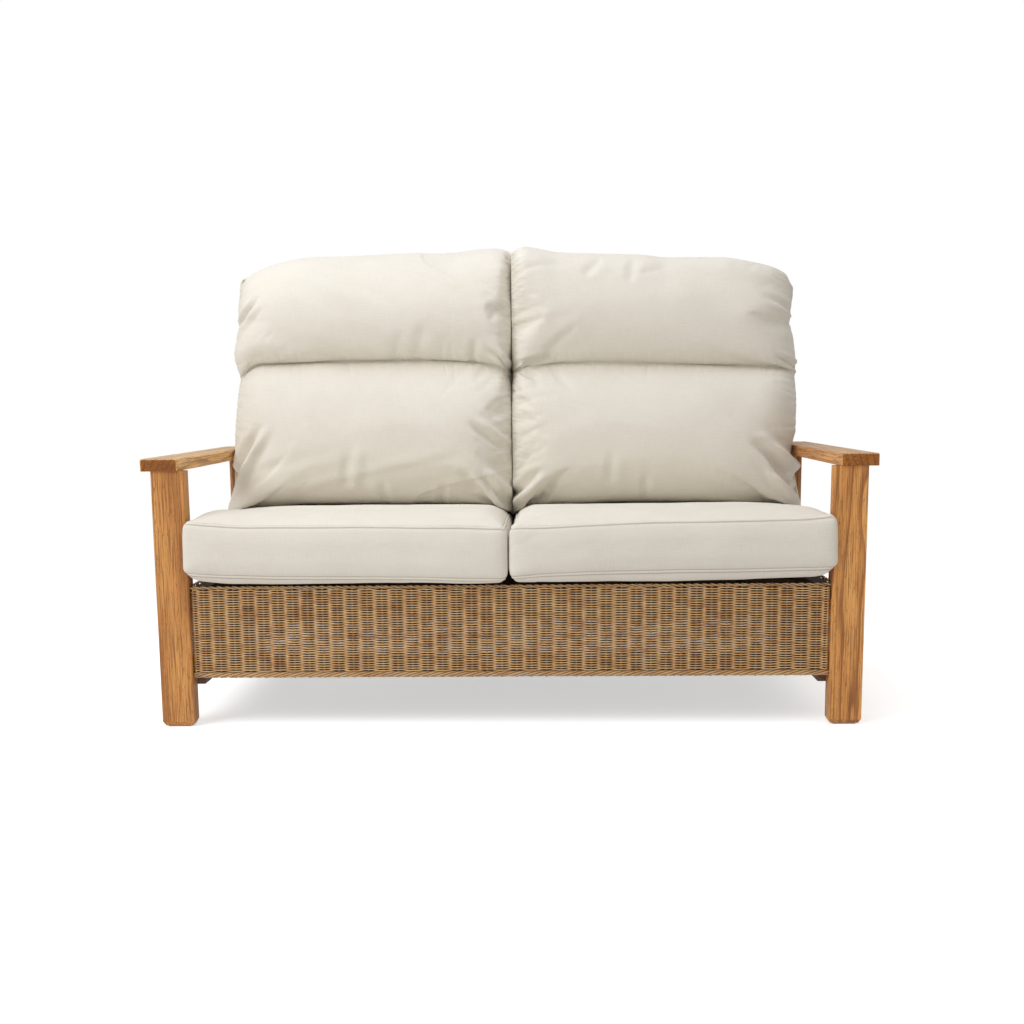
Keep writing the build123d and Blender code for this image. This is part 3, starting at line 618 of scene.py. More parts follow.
apronLook = {"proud": 0.002, "depth": 0.0037, "seeds": (3.0, 11.0)}
backPanelLook = {"thickness": 0.009, "seed": 20.0, "waveSteps": 4}
sides = {  # how each base panel is turned, its strands' materials and steps to a wave
    "front": (0.0, acrossCanes, 5), "rear": (math.pi, acrossCanes, 4),
    "right": (math.pi / 2, deepCanes, 4), "left": (-math.pi / 2, deepCanes, 4)}
for seed, (side, (angle, (finish, rim, darker), waveSteps)) in enumerate(sides.items()):
    turn = (0.0, 0.0, angle)
    low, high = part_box(f"wicker_{side}")
    middle = (low + high) / 2
    proud = apronLook["proud"]
    if side in ("front", "rear"):
        width = high.x - low.x
        place = (middle.x, low.y + proud if side == "front" else high.y - proud, 0.0)
    else:
        width = high.y - low.y
        place = (high.x - proud if side == "right" else low.x + proud, middle.y, 0.0)
    bottomTall, topTall = borderLook["bottom"][0], borderLook["top"][0]
    woven = (low.z + bottomTall, high.z - topTall)
    weavePanel(f"weave_{side}", width, woven[0], woven[1] - woven[0], turn, place, apronLook["depth"],
               finish, apronLook["seeds"][0] + seed, waveSteps, f"wicker_{side}")
    for part, level, cane in (("bottom", low.z + bottomTall / 2, rim), ("top", high.z - topTall / 2, darker)):
        tall, strands, turnLength = borderLook[part]
        border(f"border_{side}_{part}", width - 2 * borderLook["endGap"], (0.0, tall / 2 - proud, level),
               tall / 2, strands, turnLength, turn, place, cane, apronLook["seeds"][1] + seed * 3)
print("base panels woven")

# Panels of the raked back, which lean with its frame
leanTurn = (-lean, 0.0, 0.0)
for seed, hand in enumerate(("left", "right")):
    low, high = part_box(f"wicker_back_{hand}")
    middle = (low + high) / 2
    height = (high.z - low.z - backPanelLook["thickness"] * math.sin(lean)) / math.cos(lean)
    foot = Vector(middle) - Vector((0, math.sin(lean), math.cos(lean))) * height / 2
    weavePanel(f"weave_back_{hand}", high.x - low.x, 0.0, height, leanTurn, tuple(foot), 0.0, acrossCanes[0],
               backPanelLook["seed"] + seed, backPanelLook["waveSteps"], f"wicker_back_{hand}", 1.0,
               weaveLook["backEndGap"])
print("back panels woven")

# Cushions. Each starts as a grid whose seams run along grid lines, is blown up by the cloth
# solver with its seams held, and then gets its gathers, folds and piping

clothRun = {"frames": 20, "pressure": 4.0, "quality": 4, "mass": 0.3, "tension": 12.0, "bending": 0.35}
pipingLook = {"radius": 0.0028, "step": 0.006, "proud": 0.0017, "gap": 0.0003, "sides": 8,
              "smoothings": {"back": 8, "seat": 2}}
handSides = {"left": -1, "right": 1}
closely = 0.006  # how far a table is softened where it makes an outline
clothShift = 0.8  # between a cushion's front and rear cloth on the UV map


def smoothStep(value, low, high):
    share = np.clip((value - low) / (high - low), 0, 1)
    return share * share * (3 - 2 * share)


def rounded(share, power=2.3):  # steep at 0, level from 1 on
    return np.sqrt(np.clip(1 - (1 - np.clip(share, 0, 1)) ** power, 0, 1))


def throughPoints(rows, count):  # even steps along a smooth line through a few points
    rows = np.array(rows, float)
    ends = np.vstack([2 * rows[0] - rows[1], rows, 2 * rows[-1] - rows[-2]])
    fine = []
    for first in range(len(rows) - 1):
        a, b, c, d = ends[first:first + 4]
        for share in np.linspace(0, 1, 24, endpoint=False):
            fine.append(0.5 * (2 * b + (c - a) * share + (2 * a - 5 * b + 4 * c - d) * share ** 2
                               + (3 * b - a - 3 * c + d) * share ** 3))
    fine = np.vstack([fine, rows[-1]])
    steps = np.r_[0, np.cumsum(np.linalg.norm(np.diff(fine, axis=0), axis=1))]
    at = np.linspace(0, steps[-1], count)
    return np.stack([np.interp(at, steps, fine[:, axis]) for axis in range(2)], axis=1), steps[-1]


def tableAt(rows, value, soften=0.012):  # a short table read smoothly
    xs, ys = np.array(sorted(rows), float).T
    return sum(np.interp(value + shift * soften, xs, ys) for shift in (-1, -0.5, 0, 0.5, 1)) / 5


def gridFaces(index, outward=True):
    a, b, c, d = index[:-1, :-1], index[1:, :-1], index[1:, 1:], index[:-1, 1:]
    order = (a, b, c, d) if outward else (a, d, c, b)
    return np.stack([part.ravel() for part in order], axis=1)


def gridCorners(across, up, outward=True):  # the same corners' places on the cloth, in metres
    place = np.stack(np.meshgrid(across, up, indexing="ij"), axis=2)
    a, b, c, d = place[:-1, :-1], place[1:, :-1], place[1:, 1:], place[:-1, 1:]
    order = (a, b, c, d) if outward else (a, d, c, b)
    return np.stack([part.reshape(-1, 2) for part in order], axis=1).reshape(-1, 2)


def rimOf(index):  # the border of a grid, once round
    return np.concatenate([index[:-1, 0], index[-1, :-1], index[:0:-1, -1], index[0, :0:-1]])


class Form:  # a cushion's grid: points, faces, places on the cloth, seams and what is held
    def __init__(self, kind, hand):
        self.kind, self.hand = kind, hand
        self.body = f"{kind}_cushion_{hand}"
        self.name = self.body + "_soft"

    def build(self, points, faces, corners, place, held, slack):
        self.points = np.vstack(points)
        self.points[:, 1] += frontY
        self.faces = np.vstack(faces)
        self.corners = np.vstack(corners)
        self.place, self.held, self.slack = place, held, slack

    def mesh(self, points):
        mesh = bpy.data.meshes.new(self.name)
        mesh.from_pydata(points.tolist(), [], self.faces.tolist())
        layer = mesh.uv_layers.new(name="clothUV")
        layer.data.foreach_set("uv", self.corners.astype(np.float32).ravel())
        attribute = mesh.attributes.new("panelPlace", "FLOAT_VECTOR", "POINT")
        attribute.data.foreach_set("vector", self.place.astype(np.float32).ravel())
        mesh.polygons.foreach_set("use_smooth", [True] * len(mesh.polygons))
        return mesh


# Back cushions, by their section from the bottom seam to the top seam as (y, z) from the front
# posts' front faces, and by tables read off the photograph at the plane of the seams

backLook = {
    "cell": 0.0076, "width": 0.69, "clothWidth": 0.88, "height": 0.92, "innerEdge": 0.0013, "fullDepth": 0.13,
    "lowerFront": [(0.516, 0.441), (0.474, 0.4445), (0.438, 0.4475), (0.417, 0.4700), (0.410, 0.520),
                   (0.409, 0.600), (0.419, 0.680), (0.440, 0.740), (0.470, 0.775), (0.500, 0.7905)],
    "upperFront": [(0.500, 0.7905), (0.472, 0.7940), (0.452, 0.818), (0.444, 0.865), (0.448, 0.915),
                   (0.463, 0.965), (0.498, 1.015), (0.548, 1.048), (0.596, 1.0625), (0.629, 1.0665)],
    "rear": [(0.516, 0.441), (0.560, 0.4385), (0.612, 0.4385), (0.641, 0.458), (0.652, 0.520), (0.694, 0.750),
             (0.735, 0.975), (0.737, 1.010), (0.712, 1.044), (0.668, 1.0615), (0.629, 1.0665)],
    "crest": 1.069, "channel": 0.7905, "foot": 0.446, "shiftReach": (0.90, 1.06), "topReach": (0.86, 1.05),
    "waistReach": 0.055, "footReach": (0.445, 0.560), "lowerCloth": 0.50, "upperCloth": 0.42, "heldEnds": 3,
    "seamDepth": 0.540, "seamHeight": 0.580, "frameDepth": 0.615, "deckTop": 0.313,
    "innerRoll": 0.031, "outerRoll": 0.120, "thin": 0.97, "cap": 0.022, "slack": 0.05, "gatherSlack": 0.14,
    "gatherReach": 0.05, "flatter": (0.92, 0.80, 0.62, 0.40, 0.20),
    "runSteps": 4001, "rounds": 8,
    "left": {
        "seamShift": -0.030,
        "outer": [(0.42, 0.716), (0.439, 0.717), (0.455, 0.708), (0.492, 0.695), (0.543, 0.697),
                  (0.625, 0.696), (0.705, 0.690), (0.757, 0.684), (0.775, 0.690), (0.810, 0.700),
                  (0.850, 0.691), (0.889, 0.680), (0.915, 0.685), (0.930, 0.687), (0.955, 0.6860),
                  (0.975, 0.6845), (0.990, 0.6815), (1.000, 0.6775), (1.008, 0.6715), (1.016, 0.6645)],
        "top": [(0.69, 0.9945), (0.680, 1.000), (0.672, 1.0055), (0.664, 1.0115), (0.655, 1.0175),
                (0.641, 1.0250), (0.611, 1.037), (0.535, 1.056), (0.497, 1.061), (0.421, 1.061),
                (0.307, 1.065), (0.231, 1.066), (0.155, 1.0645), (0.08, 1.073), (0.042, 1.075),
                (0.015, 1.070), (0.004, 1.062), (0.0, 1.060)],
        "waist": [(0.70, 0.755), (0.672, 0.757), (0.650, 0.778), (0.629, 0.789), (0.446, 0.795), (0.2, 0.797),
                  (0.092, 0.791), (0.053, 0.784), (0.02, 0.772), (0.0, 0.764)],
        "hem": [(0.72, 0.428), (0.680, 0.429), (0.645, 0.435), (0.600, 0.443), (0.523, 0.447), (0.276, 0.446),
                (0.08, 0.444), (0.040, 0.438), (0.0, 0.420)],
    },
    "right": {  # its top seam lies further forward
        "seamShift": -0.083,
        "upperFront": [(0.500, 0.7905), (0.472, 0.7940), (0.456, 0.820), (0.449, 0.870), (0.449, 0.930),
                       (0.455, 0.980), (0.471, 1.026), (0.502, 1.050), (0.545, 1.057)],
        "rear": [(0.516, 0.441), (0.560, 0.4385), (0.612, 0.4385), (0.641, 0.458), (0.652, 0.520),
                 (0.694, 0.750), (0.735, 0.965), (0.735, 1.000), (0.700, 1.036), (0.620, 1.055),
                 (0.545, 1.057)],
        "outer": [(0.42, 0.714), (0.439, 0.7145), (0.458, 0.712), (0.505, 0.700), (0.586, 0.695),
                  (0.604, 0.704), (0.689, 0.707), (0.754, 0.703), (0.766, 0.709), (0.790, 0.706),
                  (0.838, 0.700), (0.877, 0.689), (0.903, 0.695), (0.951, 0.701), (0.984, 0.692),
                  (1.01, 0.675)],
        "top": [(0.70, 0.968), (0.692, 0.983), (0.684, 1.000), (0.672, 1.014), (0.634, 1.029),
                (0.560, 1.043), (0.522, 1.049), (0.447, 1.049), (0.372, 1.046), (0.335, 1.055),
                (0.222, 1.060), (0.109, 1.065), (0.071, 1.074), (0.034, 1.080), (0.012, 1.072), (0.0, 1.062)],
        "waist": [(0.71, 0.760), (0.690, 0.762), (0.667, 0.770), (0.46, 0.778), (0.216, 0.787),
                  (0.082, 0.785), (0.02, 0.773), (0.0, 0.764)],
        "hem": [(0.72, 0.429), (0.680, 0.430), (0.645, 0.437), (0.600, 0.444), (0.523, 0.446), (0.276, 0.446),
                (0.08, 0.442), (0.040, 0.436), (0.0, 0.420)],
    },
}


def seamPlane(z, shift):
    forward = shift * smoothStep(z, *backLook["shiftReach"])
    return backLook["seamDepth"] + (z - backLook["seamHeight"]) * math.tan(lean) + forward


def framePlane(z):
    return backLook["frameDepth"] + (z - backLook["deckTop"]) * math.tan(lean)


def backForm(hand):
    look = {**backLook, **backLook[hand]}
    side = handSides[hand]
    lowerRows = int(look["lowerCloth"] / look["cell"])
    lower, lowerLength = throughPoints(look["lowerFront"], lowerRows)
    upper, upperLength = throughPoints(look["upperFront"], int(look["upperCloth"] / look["cell"]))
    frontLine = np.vstack([lower, upper[1:]])
    rows = len(frontLine)
    rearLine, rearLength = throughPoints(look["rear"], rows)
    inner = look["innerEdge"]
    fine = np.linspace(0, 1, look["runSteps"]) * look["width"]  # columns are even along the cloth
    roll = rounded(np.minimum(fine / look["innerRoll"], (look["width"] - fine) / look["outerRoll"]))
    run = np.r_[0, np.cumsum(np.hypot(np.diff(fine), np.diff(roll) * look["fullDepth"]))]
    columns = int(run[-1] / look["cell"])
    across = np.interp(np.linspace(0, run[-1], columns), run, fine / look["width"])  # 0 at the inner end

    def raised(x, z):
        top = (tableAt(look["top"], x, closely) - look["crest"]) * smoothStep(z, *look["topReach"])
        fade = np.exp(-((z - look["channel"]) / look["waistReach"]) ** 2)
        waist = (tableAt(look["waist"], x) - look["channel"]) * fade
        foot = (tableAt(look["hem"], x) - look["foot"]) * (1 - smoothStep(z, *look["footReach"]))
        return z + top + waist + foot

    def panel(line, thin):
        depth, z = np.tile(line[:, 0], (columns, 1)), np.tile(line[:, 1], (columns, 1))
        outer = tableAt(look["outer"], line[:, 1], closely)
        for _ in range(look["rounds"]):  # a point's height and width depend on each other
            outer = (outer + tableAt(look["outer"], raised(outer, line[:, 1]), closely)) / 2
        x = inner + across[:, None] * (outer - inner)
        full = rounded(np.minimum((x - inner) / look["innerRoll"], (outer - x) / look["outerRoll"]))
        high = raised(x, z)
        shift = look["seamShift"]
        y = seamPlane(high, shift) + (depth - seamPlane(z, shift)) * full * thin
        return np.stack([side * x, y, high], axis=2)

    front, rear = panel(frontLine, look["thin"]), panel(rearLine, 1.0)
    if side < 0:  # columns run to the right on both cushions
        front, rear = front[::-1], rear[::-1]
    count = columns * rows
    frontIndex = np.arange(count).reshape(columns, rows)
    rearIndex = frontIndex.copy()
    rearIndex[1:-1, 1:-1] = count + np.arange((columns - 2) * (rows - 2)).reshape(columns - 2, rows - 2)
    form = Form("back", hand)
    form.seams = [rimOf(frontIndex)]
    wide = np.linspace(0, run[-1], columns)
    s, t = np.meshgrid(np.linspace(0, 1, columns), np.linspace(0, 1, rows), indexing="ij")
    place = np.stack([s, t, np.ones_like(s)], axis=2)
    behind = np.stack([s, t, np.zeros_like(s)], axis=2)[1:-1, 1:-1]
    total = count + (columns - 2) * (rows - 2)
    held = np.zeros(total)
    held[count:] = 1.0
    held[form.seams[0]] = 1.0
    held[frontIndex[look["heldEnds"]:-look["heldEnds"], lowerRows - 1]] = 1.0
    for away, weight in enumerate(look["flatter"]):  # the cloth lies flatter beside the top seam
        held[frontIndex[1:-1, rows - 2 - away]] = weight
    slack = np.full(total, look["slack"])
    fromEnd = np.minimum(s, 1 - s) * look["clothWidth"]
    fullness = np.exp(-fromEnd / look["gatherReach"])
    slack[:count] += ((look["gatherSlack"] - look["slack"]) * fullness).ravel()
    form.build([front.reshape(-1, 3), rear[1:-1, 1:-1].reshape(-1, 3)],
               [gridFaces(frontIndex), gridFaces(rearIndex, False)],
               [gridCorners(wide, np.linspace(0, lowerLength + upperLength, rows)),
                gridCorners(wide + clothShift, np.linspace(0, rearLength, rows), False)],
               np.vstack([place.reshape(-1, 3), behind.reshape(-1, 3)]), held, slack)
    return form


# Seat cushions: a top, a bottom and a boxing between two piped seams. They sag towards the
# middle of the seat, and their front corners bulge past the front posts

seatLook = {
    "cell": 0.0092, "frontCorner": 0.007, "rearCorner": 0.028, "innerEdge": 0.0050, "outerEdge": 0.6765,
    "frontEdge": -0.0135, "rearEdge": 0.6055, "draw": 0.004, "rearSeam": 0.433, "rearFall": (0.03, 0.45),
    "innerDrop": 0.019, "innerFall": (-0.015, 0.26), "innerReach": 0.02, "floor": 0.3136,
    "crown": [(-0.02, 0.4445), (0.02, 0.4500), (0.08, 0.4545), (0.20, 0.4565), (0.30, 0.4525), (0.42, 0.4435),
              (0.52, 0.4360), (0.60, 0.4315), (0.62, 0.4305)],
    "shoulder": [(-0.02, 0.0040), (0.03, 0.0085), (0.07, 0.0088), (0.10, 0.0078), (0.14, 0.0043),
                 (0.19, -0.0010), (0.26, -0.0062), (0.40, -0.0062), (0.52, -0.0030), (0.62, 0.0)],
    "shoulderFrom": (0.53, 0.645), "middleDip": 0.004, "middleReach": 0.12,
    "sideRoll": (0.070, 0.036), "frontRoll": 0.060, "bottomRoll": 0.024, "raisedReach": 0.08,
    "frontDip": 0.003, "frontDipTo": (0.004, 0.018), "ears": (0.0105, 0.0140), "earDepth": (-0.010, 0.002),
    "earFrom": (0.62, 0.672), "boxing": 0.12, "boxingBulge": 0.0065, "bulgeShares": (0.15, 0.35),
    "innerBoxing": (0.005, 0.03), "innerFlatter": 0.38, "cornerPush": 0.002, "pushReach": 0.012,
    "pushFrom": (0.655, 0.680), "cap": 0.003, "slack": 0.012,
    "left": {
        "top": [(0.0, 0.4315), (0.008, 0.4310), (0.157, 0.4345), (0.306, 0.4375), (0.406, 0.4365),
                (0.555, 0.4375), (0.595, 0.4395), (0.630, 0.4428), (0.6625, 0.4465), (0.6775, 0.4506)],
        "bottom": [(0.0, 0.318), (0.109, 0.3209), (0.259, 0.3234), (0.409, 0.3259), (0.51, 0.328),
                   (0.61, 0.3307), (0.645, 0.3324), (0.683, 0.3352)],
        "raised": [(0.60, 0.0), (0.64, 0.004), (0.676, 0.010)], "shoulders": 1.0, "widest": 0.6900,
    },
    "right": {
        "top": [(0.0, 0.4317), (0.0134, 0.4331), (0.0827, 0.4326), (0.1816, 0.4379), (0.280, 0.4416),
                (0.379, 0.4428), (0.477, 0.4436), (0.575, 0.4463), (0.624, 0.447), (0.673, 0.453)],
        "bottom": [(0.0, 0.321), (0.0124, 0.3232), (0.067, 0.3294), (0.182, 0.3336), (0.281, 0.336),
                   (0.380, 0.3374), (0.479, 0.3377), (0.577, 0.3386), (0.681, 0.3409)],
        "raised": [(0.33, 0.0), (0.48, 0.003), (0.60, 0.007), (0.65, 0.009), (0.676, 0.015)],
        "shoulders": 0.7, "widest": 0.6925,
    },
}


def seatForm(hand):
    look, own, side = seatLook, seatLook[hand], handSides[hand]
    halfX = (look["outerEdge"] - look["innerEdge"]) / 2
    halfY = (look["rearEdge"] - look["frontEdge"]) / 2
    columns, deep = int(2 * halfX / look["cell"]) + 1, int(2 * halfY / look["cell"]) + 1
    u, v = np.meshgrid(np.linspace(-1, 1, columns), np.linspace(-1, 1, deep), indexing="ij")
    x, y = u * halfX, v * halfY
    radius = np.where(v < 0, look["frontCorner"], look["rearCorner"])
    coreX, coreY = np.clip(x, radius - halfX, halfX - radius), np.clip(y, radius - halfY, halfY - radius)
    offX, offY = x - coreX, y - coreY
    pull = np.maximum(np.abs(offX), np.abs(offY)) / np.maximum(np.hypot(offX, offY), 1e-9)
    x, y = coreX + offX * pull, coreY + offY * pull
    x = x * (1 - look["draw"] / halfX * (1 - v ** 2)) + side * (look["innerEdge"] + halfX)
    y = y * (1 - look["draw"] / halfY * (1 - u ** 2)) + look["frontEdge"] + halfY
    far = np.abs(x)
    fromInner = (1 + u * side) * halfX
    fromOuter = (1 - u * side) * halfX
    seam = tableAt(own["top"], far, closely)
    seam = seam + (look["rearSeam"] - seam) * smoothStep(y, *look["rearFall"])
    innerFall = smoothStep(y, *look["innerFall"]) * np.exp(-fromInner / look["innerReach"])
    seam = seam - look["innerDrop"] * innerFall
    crown = tableAt(look["crown"], y, closely) - look["middleDip"] * np.exp(-far / look["middleReach"])
    shoulder = tableAt(look["shoulder"], y) * smoothStep(far, *look["shoulderFrom"])
    crown = crown + own["shoulders"] * shoulder
    rise = rounded(fromInner / look["sideRoll"][0]) * rounded(fromOuter / look["sideRoll"][1])
    top = seam + (crown - seam) * rise * rounded((1 + v) * halfY / look["frontRoll"])
    fromRim = np.minimum(np.minimum(fromInner, fromOuter), (1 - np.abs(v)) * halfY)
    floor = look["floor"] + tableAt(own["raised"], far) * np.exp(-np.maximum(y, 0) / look["raisedReach"])
    floor = floor - look["frontDip"] * (1 - smoothStep(y, *look["frontDipTo"]))
    low = tableAt(own["bottom"], far)
    bottom = low + (floor - low) * rounded(fromRim / look["bottomRoll"], 2.0)
    count = columns * deep
    topIndex = np.arange(count).reshape(columns, deep)
    topRim, bottomRim = rimOf(topIndex), rimOf(topIndex) + count
    ahead = side * (1 - smoothStep(y, *look["earDepth"])) * smoothStep(far, *look["earFrom"])
    flat = np.vstack([np.stack([x + ahead * ear, y, z], 2).reshape(-1, 3)
                      for ear, z in zip(look["ears"], (top, bottom))])
    levels = int(look["boxing"] / look["cell"])
    upper, lower = flat[topRim], flat[bottomRim]
    out = upper[:, :2] - np.roll(upper[:, :2], 1, 0)
    out = np.stack([out[:, 1], -out[:, 0]], 1)
    out = out / np.maximum(np.linalg.norm(out, axis=1, keepdims=True), 1e-9)
    out = (out + np.roll(out, -1, 0)) / 2
    points, wall = [flat], [bottomRim]
    total, ring = 2 * count, len(topRim)
    for level in range(1, levels):
        share = level / levels
        band = lower * (1 - share) + upper * share
        lowShare, highShare = look["bulgeShares"]
        bulge = float(rounded(share / lowShare) * rounded((1 - share) / highShare, 2.0))
        innerSide = 1 - smoothStep(np.abs(band[:, 0]), *look["innerBoxing"])
        flatter = 1 - look["innerFlatter"] * innerSide
        band[:, :2] += out * (look["boxingBulge"] * bulge * flatter)[:, None]
        push = look["cornerPush"] * np.exp(-((band[:, 1] - look["frontEdge"]) / look["pushReach"]) ** 2)
        band[:, 0] += side * push * smoothStep(np.abs(band[:, 0]), *look["pushFrom"]) * bulge
        points.append(band)
        wall.append(total + np.arange(ring))
        total += ring
    wall = np.stack([*wall, topRim], axis=1)
    wall = np.vstack([wall, wall[:1]])
    form = Form("seat", hand)
    form.seams = [topRim, bottomRim]
    wide, long_ = np.linspace(0, 2 * halfX, columns), np.linspace(0, 2 * halfY, deep)
    around = np.linspace(0, 4 * (halfX + halfY), ring + 1)
    place = np.zeros((total, 3))
    place[:count] = np.stack([u, v, np.ones_like(u)], 2).reshape(-1, 3)
    held = np.zeros(total)
    held[count:2 * count] = 1.0
    held[topRim] = 1.0
    form.build(points, [gridFaces(topIndex), gridFaces(topIndex + count, False), gridFaces(wall)],
               [gridCorners(wide, long_), gridCorners(wide + clothShift, long_, False),
                gridCorners(around, 1.0 + np.linspace(0, look["boxing"], levels + 1))],
               place, held, np.full(total, look["slack"]))
    return form


def weightGroup(body, name, weights):
    group = body.vertex_groups.new(name=name)
    steps = np.round(weights * 20) / 20  # few enough groups of points to add one by one
    for value in np.unique(steps):
        group.add(np.nonzero(steps == value)[0].tolist(), float(value), "REPLACE")


def blowUp(forms):  # all four cushions in one run of the cloth solver
    bodies = []
    scene = bpy.context.scene
    for form in forms:
        body = bpy.data.objects.new(form.name + "_cloth", form.mesh(form.points))
        scene.collection.objects.link(body)
        most = form.slack.max()
        weightGroup(body, "held", form.held)
        weightGroup(body, "slack", form.slack / most)
        modifier = body.modifiers.new("cloth", "CLOTH")
        settings = modifier.settings
        settings.quality = clothRun["quality"]
        settings.mass = clothRun["mass"]
        settings.tension_stiffness = settings.compression_stiffness = clothRun["tension"]
        settings.shear_stiffness = clothRun["tension"] / 3
        settings.bending_stiffness = clothRun["bending"]
        settings.use_pressure = True
        settings.uniform_pressure_force = clothRun["pressure"]
        settings.vertex_group_mass = "held"
        settings.vertex_group_shrink = "slack"
        settings.shrink_min = 0.0
        settings.shrink_max = -most
        settings.effector_weights.gravity = 0
        modifier.collision_settings.use_collision = False
        modifier.point_cache.frame_end = clothRun["frames"]
        bodies.append(body)
    for frameNumber in range(1, clothRun["frames"] + 1):
        scene.frame_set(frameNumber)
    depsgraph = bpy.context.evaluated_depsgraph_get()
    blown = []
    for form, body in zip(forms, bodies):
        points = np.zeros(len(form.points) * 3)
        body.evaluated_get(depsgraph).data.vertices.foreach_get("co", points)
        blown.append(points.reshape(-1, 3))
    for body in bodies:
        bpy.data.objects.remove(body)
    scene.frame_set(1)
    return blown


def pipingRecipe():  # a round cord along the edges of its base
    sizes = {"Cord Radius": pipingLook["radius"], "Step": pipingLook["step"], "Material": None}
    recipe = Recipe("piping", sizes, based=True)
    size = recipe.size
    line = recipe.add("GeometryNodeMeshToCurve", {}, {0: size("Base")})
    line = recipe.add("GeometryNodeResampleCurve", {"mode": "LENGTH"},
                      {"Curve": line, "Length": size("Step")})
    recipe.finishTree(recipe.tube(line, pipingLook["sides"], size("Cord Radius")))
    return recipe


piping = pipingRecipe()


def pipe(form, points):
    vertices, edges = [], []
    side = handSides[form.hand]
    for loop in form.seams:
        line = points[loop]
        for _ in range(pipingLook["smoothings"][form.kind]):
            line = (np.roll(line, 1, 0) + 2 * line + np.roll(line, -1, 0)) / 4
        if form.kind == "back":  # the cord stands out of its seam, but not towards the other cushion
            run = np.roll(line, -1, 0) - np.roll(line, 1, 0)
            out = np.stack([run[:, 2], np.zeros(len(run)), -run[:, 0]], 1)
            out = out / np.linalg.norm(out, axis=1, keepdims=True)
            out = out * np.sign(((line - line.mean(0)) * out).sum())
            line = line + out * pipingLook["proud"]
            least = pipingLook["radius"] + pipingLook["gap"]
            line[:, 0] = side * np.maximum(line[:, 0] * side, least)
        first, count = len(vertices), len(line)
        vertices.extend(line.tolist())
        edges.extend((first + at, first + (at + 1) % count) for at in range(count))
    name = f"{form.kind}_piping_{form.hand}"
    base = bpy.data.meshes.new(name)
    base.from_pydata(vertices, edges, [])
    cord = piping.make(name, {"Material": pipingCloth}, base)
    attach(cord, form.body)


# Gathers run into a seam: how many, how deep, how long and how they slant. Folds are the (x, z) of
# their two ends, half width and depth in metres, and a ridge has a minus

gatherLook = {
    "left": {"inner": (64, 0.0042, 0.034, -0.25), "outer": (50, 0.0026, 0.024, -0.30),
             "top": (44, 0.0016, 0.022, 0.4), "foot": (52, 0.0016, 0.028, 0.1),
             "channel": (40, 0.0020, 0.024, 0.2), "seed": 30},
    "right": {"inner": (60, 0.0036, 0.038, 0.30), "outer": (52, 0.0034, 0.034, 0.15),
              "top": (48, 0.0020, 0.026, -0.5), "foot": (52, 0.0016, 0.028, -0.1),
              "channel": (40, 0.0018, 0.022, -0.2), "seed": 70},
}
foldLook = {
    "left": [(-0.620, 0.944, -0.676, 0.878, 0.0058, 0.013), (-0.606, 0.930, -0.664, 0.866, 0.006, -0.0045),
             (-0.084, 0.845, -0.095, 0.789, 0.010, 0.004), (-0.207, 0.877, -0.239, 0.795, 0.016, 0.003),
             (-0.256, 0.865, -0.283, 0.795, 0.017, 0.0025), (-0.618, 0.625, -0.692, 0.513, 0.010, 0.012),
             (-0.591, 0.629, -0.672, 0.508, 0.010, -0.010), (-0.362, 0.590, -0.380, 0.495, 0.013, -0.0030),
             (-0.389, 0.578, -0.405, 0.498, 0.012, 0.0026), (-0.096, 0.639, -0.026, 0.584, 0.008, 0.010),
             (-0.081, 0.654, -0.011, 0.598, 0.007, -0.006), (-0.078, 0.519, -0.017, 0.450, 0.009, 0.012),
             (-0.058, 0.533, -0.002, 0.468, 0.008, -0.007), (-0.165, 0.500, -0.176, 0.449, 0.009, 0.003),
             (-0.311, 0.504, -0.318, 0.453, 0.010, 0.003), (-0.028, 0.812, 0.0, 0.777, 0.006, -0.007),
             (-0.057, 0.817, -0.005, 0.780, 0.006, 0.008)],
    "right": [(0.612, 0.939, 0.680, 0.908, 0.008, 0.0050), (0.625, 0.926, 0.690, 0.892, 0.008, -0.0035),
              (0.645, 0.793, 0.716, 0.766, 0.006, 0.010), (0.605, 0.603, 0.716, 0.514, 0.011, -0.014),
              (0.590, 0.583, 0.700, 0.496, 0.010, 0.012), (0.626, 0.545, 0.716, 0.453, 0.010, 0.019),
              (0.618, 0.515, 0.691, 0.448, 0.009, -0.012), (0.078, 0.513, 0.005, 0.444, 0.009, -0.012),
              (0.063, 0.527, 0.0, 0.467, 0.008, 0.011), (0.107, 0.499, 0.058, 0.442, 0.008, 0.008),
              (0.298, 1.032, 0.285, 0.978, 0.011, 0.0028), (0.219, 1.033, 0.181, 0.994, 0.011, 0.003),
              (0.010, 0.782, 0.089, 0.801, 0.006, 0.008), (0.010, 0.770, 0.060, 0.748, 0.007, 0.006),
              (0.242, 0.575, 0.235, 0.500, 0.012, 0.003), (0.324, 0.520, 0.320, 0.453, 0.010, 0.003)],
}


gatherSpread = {  # how far single gathers stray from their row's values
    "place": 0.4, "width": (0.0026, 0.0048), "length": (0.4, 1.7), "slant": 0.25, "depth": (0.25, 1.0),
    "widening": 0.05, "start": 0.004, "reach": 4,
}
foldShape = {"start": (-0.2, 0.4), "end": (0.85, 1.25), "ridgePlace": 1.9, "ridgeShare": 0.4}
knotCount = 4096


